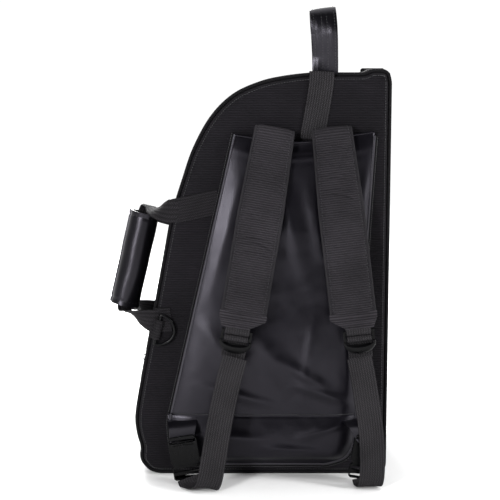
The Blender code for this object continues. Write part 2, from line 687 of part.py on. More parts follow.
def anchor_strips():
    """Webbing sewn flat on the case where the handle loops end."""
    half = WEB_W / 2
    z = HANDLE_TOP_Z
    rise = 0.010
    low, high = z - half, z + half
    upper = [(side_x(low) + 0.010, low), (panel_side_x(low + rise) - 0.001, low + rise),
             (panel_side_x(high + rise) - 0.001, high + rise), (side_x(high) + 0.010, high)]
    y_low, y_high = HARNESS_Y - WEB_T - GAP, HARNESS_Y - GAP
    dress(plate("handle_anchor_upper", [upper], y_low, y_high), "webbing")
    z = HANDLE_FOOT_Z
    low, high = z - half, z + half
    lower = [(side_x(low) + 0.010, low), (side_x(low) + 0.016, low), (side_x(high) + 0.016, high),
             (side_x(high) + 0.010, high)]
    dress(plate("handle_anchor_lower", [lower], y_low, y_high), "webbing")


def build_d_ring():
    """A flat ring, its straight bar held by webbing at the lower handle anchor."""
    lean = math.atan2(SIDE_TOP.x - SIDE_FOOT.x, SIDE_TOP.z - SIDE_FOOT.z)
    z = HANDLE_FOOT_Z - 0.014
    pivot = Vector((side_x(z) + 0.0125, HARNESS_Y - WEB_T - RING_WIRE - 0.0012, z))
    axis = joint_empty("d_ring_axis", pivot)
    place = Matrix.Translation(pivot) @ Matrix.Rotation(lean, 4, "Y")
    half = RING_L / 2
    turns = [math.radians(-90 + 180 * k / 12) for k in range(13)]
    bow = [(RING_W * math.cos(a), half * math.sin(a)) for a in turns]
    points = [place @ Vector((x, 0, zz)) for x, zz in bow]
    dress(tube("d_ring", points, RING_WIRE), "metal", axis)


def build_haul_loop(axis):
    """A leather band that folds over at its foot, and the tongue that holds it in the top seam."""
    foot_y = axis.location.y
    z = CASE_HEIGHT + GAP * 2
    half = [(0.0030, HAUL_FOLD_RISE + 0.0001), (0.0060, 0.022), (0.0125, 0.045), (HAUL_HALF_GAP, 0.062),
            (0.0115, 0.080), (0.0055, HAUL_RISE - 0.003), (0.0, HAUL_RISE - 0.0015)]
    outline = [(foot_y - y, z + up) for y, up in half]
    outline += [(foot_y + y, z + up) for y, up in reversed(half[:-1])]
    route = [(HAUL_X - 0.002 * (p[1] - z) / HAUL_RISE, p[0], p[1]) for p in outline]
    dress(ribbon("haul_loop", route, (1, 0, 0), HAUL_W, HAUL_T), "leather", axis)
    tongue_half, tongue_y = HAUL_W / 2 - 0.001, 0.0012
    low = (HAUL_X - tongue_half, foot_y - tongue_y, CASE_HEIGHT + GAP)
    high = (HAUL_X + tongue_half, foot_y + tongue_y, CASE_HEIGHT + HAUL_FOLD_RISE - tongue_y)
    dress(box("haul_loop_tongue", low, high), "leather")


def build_main_zip():
    """Two sliders on the straight stretch of the side, each with a hanging pull."""
    up = (SIDE_TOP - SIDE_FOOT).normalized()
    lean = math.atan2(up.x, up.z)
    for name, z in (("upper", 0.207), ("lower", 0.160)):
        place = Matrix.Translation((side_x(z), SPLIT_Y, z)) @ Matrix.Rotation(lean, 4, "Y")
        slide = joint_empty(f"zip_slider_axis_{name}", place.translation)
        back = TAPE_SINK - GAP
        body = box(f"zip_slider_{name}", (back - SLIDER_H, -SLIDER_W / 2, -SLIDER_L / 2),
                   (back, SLIDER_W / 2, SLIDER_L / 2), place)
        dress(bevel(body, 0.001), "metal", slide)
        pivot = place @ Vector((back - SLIDER_H - PULL_GAP - PULL_T / 2, 0, 0.002))
        swing = joint_empty(f"zip_pull_axis_{name}", pivot, slide)
        pull_place = Matrix.Translation(pivot) @ Matrix.Rotation(lean, 4, "Y")
        build_bridge(f"zip_bridge_{name}", pull_place, -1, slide)
        build_pull(f"zip_pull_{name}", pull_place, swing)


def build_bridge(name, place, out, axis):
    """An arch on the slider, over the pull's top bar; out is the sign of local X away from the slider."""
    face = GAP - PULL_GAP - PULL_T / 2
    under, over, inner, outer = face + 0.0028, face + 0.0038, 0.0039, 0.0049
    corner = 0.0009
    half = [(face, outer), (over - corner, outer), (over, outer - corner)]
    hollow = [(under, inner - corner), (under - corner, inner), (face, inner)]
    arch = half + [(x, -z) for x, z in reversed(half)] + [(x, -z) for x, z in reversed(hollow)] + hollow
    dress(plate(name, [[(out * x, z) for x, z in arch]], -BRIDGE_W / 2, BRIDGE_W / 2, place), "metal", axis)


def build_pull(name, place, axis):
    """A flat tab whose top bar turns under the bridge; local X points out of the case, Z up along the zip."""
    half, top = PULL_W / 2, 0.0007
    rim = [(-half, top), (-half, -PULL_L + 0.003), (-half + 0.003, -PULL_L), (half - 0.003, -PULL_L),
           (half, -PULL_L + 0.003), (half, top)]
    eye = [(-0.0028, -0.0056), (0.0028, -0.0056), (0.0028, -0.0011), (-0.0028, -0.0011)]
    turn = Matrix.Rotation(-math.pi / 2, 4, "Z")
    dress(plate(name, [rim, eye], -PULL_T / 2, PULL_T / 2, place @ turn), "metal", axis)


def build_cover_pocket(cover_axis):
    """A box pocket on the cover's face; its zip runs across the top."""
    half, low, high = POCKET_W / 2, POCKET_Z - POCKET_H / 2, POCKET_Z + POCKET_H / 2
    out = (GAP * 2, POCKET_D)
    # Offsets from the cover's sheared face
    shell = box("cover_pocket", (-half, out[0], low), (half, out[1], high), SHEAR_TO_COVER)
    bevel(shell, 0.010, 2)
    wall = POCKET_WALL
    hollow = cutter((-half + wall, -0.02, low + wall), (half - wall, out[1] - wall, high - wall),
                    SHEAR_TO_COVER)
    zip_low, zip_high = 0.012, 0.012 + POCKET_ZIP_W
    mouth = cutter((-half + 0.022, zip_low, high - 0.03), (half - 0.022, zip_high, high + 0.02),
                   SHEAR_TO_COVER)
    cut(shell, hollow, mouth)
    dress(shell, "fabric", cover_axis)
    tape = box("pocket_zip_tape", (-half + 0.022 + GAP, zip_low + GAP, high - 0.0035),
               (half - 0.022 - GAP, zip_high - GAP, high - 0.001), SHEAR_TO_COVER)
    dress(tape, "webbing", cover_axis)
    # Slider and pull, closed at -X
    middle = (zip_low + zip_high) / 2
    place = Matrix.Translation(SHEAR_TO_COVER @ Vector((-half + 0.036, middle, high + 0.0003)))
    slide = joint_empty("pocket_slider_axis", place.translation, cover_axis)
    body = box("pocket_slider", (-SLIDER_L / 2, -0.0045, 0), (SLIDER_L / 2, 0.0045, SLIDER_H), place)
    dress(bevel(body, 0.001), "metal", slide)
    pivot = place @ Vector((0, 0, SLIDER_H + PULL_GAP + PULL_T / 2))
    swing = joint_empty("pocket_pull_axis", pivot, slide)
    # The pull lies along the zip, towards +X
    lay = Matrix.Translation(pivot) @ Matrix.Rotation(-math.pi / 2, 4, "Y")
    build_bridge("pocket_bridge", lay, 1, slide)
    build_pull("pocket_pull", lay, swing)


def build_zip_end_tab():
    """A folded fabric tab at the zip's end, on the spine's top corner."""
    low = (SPINE_X - 0.040, SPLIT_Y - 0.028, CASE_HEIGHT + GAP)
    high = (SPINE_X - 0.004, SPLIT_Y - ZIP_HALF - 0.001, CASE_HEIGHT + 0.008)
    dress(bevel(box("zip_end_tab", low, high), 0.002, 1), "fabric")


def main():
    cover_axis = joint_empty("cover_hinge_axis", (SPINE_X + 0.001, SPLIT_Y, 0))
    middle_z = (HANDLE_TOP_Z + HANDLE_FOOT_Z) / 2
    edge = Vector((side_x(middle_z), HARNESS_Y, middle_z))
    back_handle_axis = joint_empty("back_handle_axis", edge)
    front_edge = Vector((edge.x, cover_face(edge.z), edge.z))
    front_handle_axis = joint_empty("front_handle_axis", front_edge, cover_axis)
    haul_foot = (HAUL_X, HARNESS_Y + HAUL_SET_BACK, CASE_HEIGHT + HAUL_FOLD_RISE)
    haul_axis = joint_empty("haul_loop_axis", haul_foot)
    build_back_half()
    build_cover(cover_axis)
    build_harness_panel()
    for hand, strap in STRAPS.items():
        build_strap(hand, strap)
    anchor_strips()
    build_handle(back_handle_axis, front_handle_axis)
    build_d_ring()
    build_haul_loop(haul_axis)
    build_main_zip()
    build_cover_pocket(cover_axis)
    build_zip_end_tab()


main()
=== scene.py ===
"""Looks of the padded gig bag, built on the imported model.

Metres, +Z up. The harness side faces -Y and the camera, the cover opens
towards +Y, and the bag stands on its base.
"""
import math

import bmesh
import bpy
from mathutils import Matrix, Vector, noise


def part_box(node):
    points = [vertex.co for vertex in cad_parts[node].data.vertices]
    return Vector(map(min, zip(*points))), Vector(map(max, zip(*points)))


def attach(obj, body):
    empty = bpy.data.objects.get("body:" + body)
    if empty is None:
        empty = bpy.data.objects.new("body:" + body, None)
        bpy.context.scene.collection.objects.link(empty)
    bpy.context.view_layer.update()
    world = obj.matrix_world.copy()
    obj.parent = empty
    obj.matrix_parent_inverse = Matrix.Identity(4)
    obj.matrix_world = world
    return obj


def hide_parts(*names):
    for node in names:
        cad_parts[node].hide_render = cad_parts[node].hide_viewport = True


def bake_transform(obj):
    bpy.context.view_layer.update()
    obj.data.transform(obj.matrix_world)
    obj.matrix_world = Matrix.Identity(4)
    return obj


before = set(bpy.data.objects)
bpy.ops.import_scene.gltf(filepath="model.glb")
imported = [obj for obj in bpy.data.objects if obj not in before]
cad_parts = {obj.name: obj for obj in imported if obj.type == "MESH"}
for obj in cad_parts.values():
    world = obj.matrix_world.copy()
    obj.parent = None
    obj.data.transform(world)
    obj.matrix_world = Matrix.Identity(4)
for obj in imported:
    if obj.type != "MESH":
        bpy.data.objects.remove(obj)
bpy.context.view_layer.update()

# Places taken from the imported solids
CASE_LOW, CASE_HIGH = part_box("back_gusset")
PANEL_LOW, PANEL_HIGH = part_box("back_panel")
CASE_HEIGHT = CASE_HIGH[2]
SPINE_X, BELLY_X = CASE_HIGH[0], CASE_LOW[0]
HARNESS_Y = PANEL_LOW[1]
WALL = PANEL_HIGH[1] - PANEL_LOW[1]
SPLIT_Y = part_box("zip_tape_back")[1][1] + 0.0003
ZIP_HALF = SPLIT_Y - CASE_HIGH[1]
LEATHER_FACE_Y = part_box("harness_panel")[0][1]

# Shape of the case, as in the model
CORNER_R = 0.016
SIDE_TOP, SIDE_FOOT = Vector((-0.1375, 0, 0.400)), Vector((-0.1895, 0, 0.125))
COVER_DEPTH_BASE, COVER_DEPTH_TOP = 0.180, 0.090
COVER_SLOPE = (COVER_DEPTH_BASE - COVER_DEPTH_TOP) / CASE_HEIGHT
PIPING_R = 0.0028
WEB_W, WEB_T = 0.037, 0.0018
X, Y, Z = Vector((1, 0, 0)), Vector((0, 1, 0)), Vector((0, 0, 1))


# ---------------------------------------------------------------- materials

class Shader:
    """A small helper that adds nodes to a Principled material."""

    def __init__(self, name, roughness, specular=0.5, sheen=0.0):
        self.material = bpy.data.materials.new(name)
        self.material.use_nodes = True
        self.tree = self.material.node_tree
        self.shader = self.tree.nodes["Principled BSDF"]
        self.set("Roughness", roughness)
        self.set("Specular IOR Level", specular)
        self.set("Sheen Weight", sheen)
        self.set("Sheen Roughness", 0.5)

    def set(self, socket, value):
        self.shader.inputs[socket].default_value = value

    def add(self, kind, **settings):
        node = self.tree.nodes.new(kind)
        for key, value in settings.items():
            if key in node.inputs:
                node.inputs[key].default_value = value
            else:
                setattr(node, key, value)
        return node

    def link(self, out, to):
        self.tree.links.new(out, to)

    def math(self, operation, a, b=None):
        node = self.add("ShaderNodeMath", operation=operation)
        for i, value in enumerate((a, b)):
            if value is None:
                continue
            if isinstance(value, (int, float)):
                node.inputs[i].default_value = value
            else:
                self.link(value, node.inputs[i])
        return node.outputs[0]

    def weave_uv(self):
        """Metres across and along the cloth."""
        uv = self.add("ShaderNodeUVMap", uv_map="weave")
        split = self.add("ShaderNodeSeparateXYZ")
        self.link(uv.outputs[0], split.inputs[0])
        return split.outputs[0], split.outputs[1]

    def wave(self, coordinate, pitch):
        """A smooth 0 to 1 wave of the given pitch in metres."""
        turns = self.math("MULTIPLY", coordinate, 2 * math.pi / pitch)
        return self.math("MULTIPLY_ADD", self.math("SINE", turns), 0.5)

    def noise(self, scale, detail=3.0, roughness=0.55, stretch=None):
        coords = self.add("ShaderNodeTexCoord")
        tex = self.add("ShaderNodeTexNoise", Scale=scale, Detail=detail, Roughness=roughness)
        out = coords.outputs["Object"]
        if stretch is not None:
            mapping = self.add("ShaderNodeMapping")
            mapping.inputs["Scale"].default_value = stretch
            self.link(out, mapping.inputs[0])
            out = mapping.outputs[0]
        self.link(out, tex.inputs["Vector"])
        return tex.outputs[0]

    def colour(self, factor, dark, light):
        ramp = self.add("ShaderNodeMix", data_type="RGBA")
        ramp.inputs[6].default_value = (*dark, 1)
        ramp.inputs[7].default_value = (*light, 1)
        self.link(factor, ramp.inputs[0])
        self.link(ramp.outputs[2], self.shader.inputs["Base Color"])

    def roughness(self, factor, low, high):
        span = self.add("ShaderNodeMapRange")
        span.inputs["To Min"].default_value = low
        span.inputs["To Max"].default_value = high
        self.link(factor, span.inputs[0])
        self.link(span.outputs[0], self.shader.inputs["Roughness"])

    def bump(self, heights):
        """Bumps of several heights: (factor, depth in metres) pairs."""
        normal = None
        for factor, depth in heights:
            node = self.add("ShaderNodeBump", Distance=depth, Strength=1.0)
            self.link(factor, node.inputs["Height"])
            if normal is not None:
                self.link(normal, node.inputs["Normal"])
            normal = node.outputs[0]
        self.link(normal, self.shader.inputs["Normal"])


def ribbed_cloth(name, dark, light, rib, depth, sheen=0.1, roughness=0.85):
    """Woven nylon with ribs across the v direction."""
    made = Shader(name, roughness, specular=0.12, sheen=sheen)
    across, along = made.weave_uv()
    ribs = made.wave(along, rib)
    threads = made.wave(across, 0.0011)
    cross = made.math("MULTIPLY", ribs, made.math("MULTIPLY_ADD", threads, 0.5))
    worn = made.noise(9.0, 4.0)
    fine = made.noise(900.0, 2.0)
    made.colour(made.math("MULTIPLY", made.math("ADD", cross, fine), worn), dark, light)
    made.bump([(ribs, depth), (threads, depth * 0.35), (fine, depth * 0.5)])
    return made.material


def webbing_material(name, dark, light, ribs=14, width=WEB_W):
    """Webbing with lengthwise ribs, crossed by threads that turn at each rib."""
    made = Shader(name, 0.75, specular=0.10)
    across, along = made.weave_uv()
    pitch = width / ribs
    rows = made.wave(across, pitch)
    zigzag = made.math("PINGPONG", across, pitch)
    slant = made.math("ADD", made.math("MULTIPLY", zigzag, 1.4), along)
    twill = made.wave(slant, 0.0036)
    fine = made.noise(1200.0, 2.0)
    worn = made.noise(22.0, 3.0)
    woven = made.math("MULTIPLY", made.math("ADD", rows, 0.25), made.math("ADD", twill, 0.15))
    fuzzy = made.math("ADD", woven, made.math("MULTIPLY", fine, 0.35))
    mixed = made.math("MULTIPLY", fuzzy, made.math("ADD", worn, 0.35))
    made.colour(mixed, dark, light)
    made.bump([(rows, 0.00035), (twill, 0.00045), (fine, 0.00012)])
    return made.material


def leather_material(name, dark, light, low=0.26, high=0.46, grain=1.0, gloss=0.30):
    """Smooth coated leather: broad sheen, fine pores and faint creases."""
    made = Shader(name, 0.36, specular=gloss)
    made.set("Specular Tint", (0.90, 0.86, 1.0, 1))
    pores = made.add("ShaderNodeTexVoronoi", Scale=900.0)
    coords = made.add("ShaderNodeTexCoord")
    made.link(coords.outputs["Object"], pores.inputs["Vector"])
    soft = made.noise(7.0, 3.0, 0.5)
    crease = made.noise(38.0, 3.0, 0.5, stretch=(1.0, 1.0, 0.45))
    made.colour(soft, dark, light)
    made.roughness(soft, low, high)
    made.bump([(soft, 0.0012 * grain), (crease, 0.00035 * grain), (pores.outputs[0], 0.00006)])
    return made.material


def plastic_material(name, colour, roughness):
    made = Shader(name, roughness, specular=0.10)
    worn = made.noise(70.0, 4.0)
    fine = made.noise(2500.0, 1.0)
    made.colour(worn, colour, tuple(c * 1.8 for c in colour))
    made.roughness(worn, roughness * 0.8, roughness * 1.25)
    made.bump([(fine, 0.00004)])
    return made.material


def thread_material():
    made = Shader("thread", 0.6, specular=0.4)
    twist = made.noise(3000.0, 1.0)
    made.colour(twist, (0.010, 0.010, 0.011), (0.035, 0.035, 0.038))
    return made.material


def floor_material():
    made = Shader("pale_floor", 0.75, specular=0.2)
    made.colour(made.noise(3.0), (0.86, 0.86, 0.86), (0.9, 0.9, 0.9))
    return made.material


# Each cloth: darkest and lightest colour, rib pitch, rib depth, sheen and roughness
CLOTHS = {
    "case_fabric": ((0.0002, 0.0001, 0.0004), (0.0090, 0.0077, 0.0104), 0.0036, 0.00045, 0.0),
    "strap_fabric": ((0.0005, 0.0004, 0.0007), (0.0380, 0.0345, 0.0405), 0.0034, 0.00080, 0.0),
    "tab_fabric": ((0.0008, 0.0007, 0.0010), (0.0480, 0.0435, 0.0510), 0.0047, 0.00060, 0.0),
    "lining": ((0.020, 0.020, 0.022), (0.060, 0.060, 0.064), 0.0012, 0.0005, 0.5, 0.95),
    "binding": ((0.002, 0.002, 0.0024), (0.030, 0.028, 0.032), 0.0014, 0.0003, 0.0),
    "piping": ((0.0006, 0.0006, 0.0008), (0.0080, 0.0074, 0.0088), 0.0013, 0.0002, 0.0),
}
# Each webbing: darkest and lightest colour, ribs across it, and its width if not WEB_W
WEBBINGS = {
    "webbing": ((0.0001, 0.0001, 0.0002), (0.0270, 0.0252, 0.0280), 10),
    "handle_webbing": ((0.0001, 0.0001, 0.0002), (0.0150, 0.0135, 0.0160), 9),
    "zip_tape": ((0.003, 0.003, 0.0035), (0.010, 0.010, 0.011), 16, 0.022),
}
# Each leather: darkest and lightest colour, lowest and highest roughness, grain, gloss
LEATHERS = {
    "leather": ((0.0006, 0.0005, 0.0010), (0.0024, 0.0021, 0.0034), 0.25, 0.35, 1.0, 0.22),
    "handle_leather": ((0.0010, 0.0010, 0.0014), (0.0032, 0.0030, 0.0038), 0.24, 0.34, 0.5, 0.24),
    "edge_leather": ((0.006, 0.006, 0.007), (0.020, 0.019, 0.022), 0.32, 0.45, 0.3, 0.3),
}
# Each moulding: colour and roughness
MOULDINGS = {
    "buckle_plastic": ((0.0008, 0.0008, 0.0010), 0.25),
    "ring_plastic": ((0.0015, 0.0015, 0.0018), 0.22),
    "slider_metal": ((0.005, 0.005, 0.0055), 0.22),
}
MATERIALS = {"thread": thread_material()}
for make, table in ((ribbed_cloth, CLOTHS), (webbing_material, WEBBINGS),
                    (leather_material, LEATHERS), (plastic_material, MOULDINGS)):
    for name, values in table.items():
        MATERIALS[name] = make(name, *values)


# ---------------------------------------------------------------- mesh tools

def clamp(value):
    return min(1.0, max(0.0, value))


def ease(share):
    """A smooth step from 0 to 1."""
    share = clamp(share)
    return share * share * (3 - 2 * share)


def bell(off, width):
    return math.exp(-(off / width) ** 2)


def in_face(n):
    """A direction in the case's outline as one in space."""
    return Vector((n.x, 0, n.y))


def run_lengths(points):
    """The length from the first point to each point."""
    made = [0.0]
    for a, b in zip(points, points[1:]):
        made.append(made[-1] + (b - a).length)
    return made


def stands(piece, slot, *nodes):
    """Hides the CAD pieces that a piece stands for; slot is not used."""
    if nodes:
        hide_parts(*nodes)


def ring_faces(rings, count, closed=False):
    """Faces between neighbouring rings of count points."""
    faces = []
    for i in range(rings if closed else rings - 1):
        j = (i + 1) % rings
        for k in range(count):
            m = (k + 1) % count
            faces.append((i * count + k, i * count + m, j * count + m, j * count + k))
    return faces


def mesh_piece(name, points, faces, uvs, finish, body, sharp=40):
    """A piece from points and faces; uvs holds one (across, along) pair a point."""
    mesh = bpy.data.meshes.new(name)
    mesh.from_pydata([tuple(p) for p in points], [], faces)
    layer = mesh.uv_layers.new(name="weave")
    for loop in mesh.loops:
        layer.data[loop.index].uv = uvs[loop.vertex_index]
    bm = bmesh.new()
    bm.from_mesh(mesh)
    bmesh.ops.recalc_face_normals(bm, faces=bm.faces)
    bm.to_mesh(mesh)
    bm.free()
    piece = bpy.data.objects.new(name, mesh)
    bpy.context.scene.collection.objects.link(piece)
    for one in finish if isinstance(finish, list) else [finish]:
        mesh.materials.append(MATERIALS[one])
    mesh.shade_smooth()
    mesh.set_sharp_from_angle(angle=math.radians(sharp))
    if body:
        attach(piece, body)
    return piece


def loft(name, rings, finish, body, closed=False, sharp=40):
    """Skins a row of closed rings; closed joins the last to the first."""
    count = len(rings[0])
    across = run_lengths(rings[len(rings) // 2])
    along = [0.0]
    for a, b in zip(rings, rings[1:]):
        along.append(along[-1] + sum((a[k] - b[k]).length for k in (0, count // 2)) / 2)
    points = [p for ring in rings for p in ring]
    uvs = [(across[k], along[i]) for i in range(len(rings)) for k in range(count)]
    faces = ring_faces(len(rings), count, closed)
    if not closed:
        faces += [tuple(i * count + k for k in range(count)) for i in (0, len(rings) - 1)]
    return mesh_piece(name, points, faces, uvs, finish, body, sharp)


def smooth_route(points, step=0.006):
    """A Catmull-Rom curve through points, sampled about every step metres."""
    knots = [Vector(p) for p in points]
    knots = [2 * knots[0] - knots[1], *knots, 2 * knots[-1] - knots[-2]]
    made = []
    for a, b, c, d in zip(knots, knots[1:], knots[2:], knots[3:]):
        steps = max(1, round((c - b).length / step))
        for k in range(steps):
            t = k / steps
            made.append(0.5 * (2 * b + (c - a) * t + (2 * a - 5 * b + 4 * c - d) * t ** 2
                               + (3 * b - a - 3 * c + d) * t ** 3))
    made.append(knots[-2])
    return made


def tangents(route, closed=False):
    made = []
    count = len(route)
    for i in range(count):
        before = route[i - 1] if i or closed else route[0]
        after = route[(i + 1) % count] if i < count - 1 or closed else route[-1]
        made.append((after - before).normalized())
    return made


def sweep(name, route, sides, section, finish, body, closed=False, sharp=40):
    """Carries a section, (across, out) pairs or a function of i that gives them, along a route."""
    rings = []
    for i, (here, way) in enumerate(zip(route, tangents(route, closed))):
        side = (sides[i] - way * sides[i].dot(way)).normalized()
        out = way.cross(side)
        pairs = section(i) if callable(section) else section
        rings.append([here + side * a + out * b for a, b in pairs])
    return loft(name, rings, finish, body, closed, sharp)


def flat_section(width, thickness, ribs=0, depth=0.0):
    """Section of a webbing: flat, round at the edges, with shallow lengthwise ribs."""
    half, t = width / 2, thickness / 2
    steps = 2 * ribs if ribs else 6
    top = []
    for k in range(steps + 1):
        a = -half + t + (width - 2 * t) * k / steps
        top.append((a, t - (depth if ribs and k % 2 else 0)))
    return top + [(half, 0)] + [(a, -b) for a, b in reversed(top)] + [(-half, 0)]


def round_section(radius, steps=12, flat=1.0):
    angles = [2 * math.pi * k / steps for k in range(steps)]
    return [(radius * math.cos(a), flat * radius * math.sin(a)) for a in angles]


def webbing(name, route, sides, finish, body, width=WEB_W, thick=WEB_T):
    """A strip of webbing along a route; width may be a list, one for each point."""
    def section(i):
        here = width[i] if isinstance(width, list) else width
        return flat_section(here, thick, RIBS, RIB_DEPTH)
    return sweep(name, route, sides, section, finish, body)


RIBS, RIB_DEPTH = 14, 0.00012
STITCH_L, STITCH_R = 0.0026, 0.00042
# Places along a stitch, as shares of its length, and its thickness there
STITCH_SHAPE = ((-0.5, 0.35), (-0.25, 1.0), (0.25, 1.0), (0.5, 0.35))


def stitches(name, lines, body, pitch):
    """Rows of stitches: each line is (route, outward direction)."""
    points, faces = [], []
    skin = ring_faces(4, 4) + [(0, 1, 2, 3), (12, 13, 14, 15)]
    for route, out in lines:
        route = smooth_route(route, pitch)
        for here, way in list(zip(route, tangents(route)))[:-1]:
            side = way.cross(out).normalized() * STITCH_R
            lift = out.normalized() * STITCH_R
            faces += [tuple(len(points) + i for i in face) for face in skin]
            for share, grow in STITCH_SHAPE:
                centre = here + way * (STITCH_L * share) + lift * (grow - 0.6)
                for a, b in ((1, 0), (0, 1), (-1, 0), (0, -1)):
                    points.append(centre + side * (a * grow) + lift * (b * grow))
    return mesh_piece(name, points, faces, [(0.0, 0.0)] * len(points), "thread", body)


def ripple(point, scale, seed=0.0):
    """Smooth noise from -1 to 1 at a point."""
    return noise.noise(Vector(point) * scale + Vector((seed, seed * 1.7, seed * 0.3)))


def polished(node, width, segments, finish, body):
    """A copy of a moulded CAD piece with its edges rounded, which stands for it."""
    mesh = bpy.data.objects[node].data.copy()
    bm = bmesh.new()
    bm.from_mesh(mesh)
    bmesh.ops.remove_doubles(bm, verts=bm.verts, dist=1e-6)
    bmesh.ops.dissolve_limit(bm, angle_limit=math.radians(1), verts=bm.verts, edges=bm.edges)
    bm.to_mesh(mesh)
    bm.free()
    piece = bpy.data.objects.new(f"{node}_moulded", mesh)
    bpy.context.scene.collection.objects.link(piece)
    mesh.materials.clear()
    mesh.materials.append(MATERIALS[finish])
    edge = piece.modifiers.new("edge", "BEVEL")
    edge.width, edge.segments, edge.limit_method = width, segments, "ANGLE"
    edge.angle_limit = math.radians(28)
    edge.use_clamp_overlap = True
    mesh.shade_smooth()
    mesh.set_sharp_from_angle(angle=math.radians(50))
    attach(piece, body)
    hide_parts(node)
    return piece


# ---------------------------------------------------------------- the case

def arc(centre, radius, start, end, steps=10):
    """Points of an arc in XZ, angles in degrees from +X towards +Z."""
    made = []
    for i in range(steps + 1):
        angle = math.radians(start + (end - start) * i / steps)
        made.append(Vector(centre) + radius * Vector((math.cos(angle), math.sin(angle))))
    return made


def resample(points, step, closed=True):
    """Even steps along a polyline."""
    run = points + [points[0]] if closed else points
    lengths = run_lengths(run)
    count = round(lengths[-1] / step)
    made, i = [], 0
    for k in range(count if closed else count + 1):
        goal = lengths[-1] * k / count
        while i < len(lengths) - 2 and lengths[i + 1] < goal:
            i += 1
        made.append(run[i].lerp(run[i + 1], (goal - lengths[i]) / (lengths[i + 1] - lengths[i])))
    return made


def side_x(z):
    share = (z - SIDE_FOOT.z) / (SIDE_TOP.z - SIDE_FOOT.z)
    return SIDE_FOOT.x + (SIDE_TOP.x - SIDE_FOOT.x) * share


def cover_face(z):
    return SPLIT_Y + COVER_DEPTH_BASE - COVER_SLOPE * z


def case_outline(step=0.004):
    """The case from the harness side, anticlockwise from the middle of its base, in even steps."""
    top, spine = CASE_HEIGHT, SPINE_X
    points = [Vector((0.0, 0.0))] + arc((spine - CORNER_R, CORNER_R), CORNER_R, -90, 0)
    points += arc((spine - CORNER_R, top - CORNER_R), CORNER_R, 0, 90)
    # The shoulder's points go down from the top edge
    shoulder = [(0.073, 0.0), (0.036, 0.0045), (-0.0018, 0.0125), (-0.043, 0.031),
                (-0.0765, 0.064), (-0.1035, 0.112), (-0.1205, 0.160)]
    knots = [Vector((x, top - down)) for x, down in shoulder]
    points += smooth_route([*knots, Vector((SIDE_TOP.x, SIDE_TOP.z))], step)
    # The belly's points go in from its widest place
    belly = [(0.0, 0.088), (0.0030, 0.062), (0.0080, 0.043), (0.0068, 0.030),
             (0.0098, 0.018), (0.022, 0.0045), (0.038, 0.0)]
    knots = [Vector((BELLY_X + across, z)) for across, z in belly]
    side = [Vector((side_x(0.2), 0.2)), Vector((SIDE_FOOT.x, SIDE_FOOT.z))]
    points += smooth_route(side + knots, step)
    made = resample(points, step)
    # The top corner by the spine is pulled up into a small ear
    for p in made:
        if p.y > top - 0.03:
            p.y += 0.0052 * ease(clamp((p.x - 0.148) / 0.016) * clamp((spine - p.x) / 0.003))
    return made


def normals(outline):
    made = []
    count = len(outline)
    for i in range(count):
        way = (outline[(i + 1) % count] - outline[i - 1]).normalized()
        made.append(Vector((way.y, -way.x)))
    return made


OUTLINE = case_outline()
NORMALS = normals(OUTLINE)
HEART = (Vector((0.045, 0.16)), Vector((0.095, 0.45)))


def shrunk(ring, share):
    """A ring drawn in towards the panel's middle line."""
    way = HEART[1] - HEART[0]
    made = []
    for p in ring:
        middle = HEART[0] + way * clamp((p - HEART[0]).dot(way) / way.length_squared)
        made.append(middle + (p - middle) * share)
    return made


def inset_ring(distance):
    return [p - n * distance for p, n in zip(OUTLINE, NORMALS)]


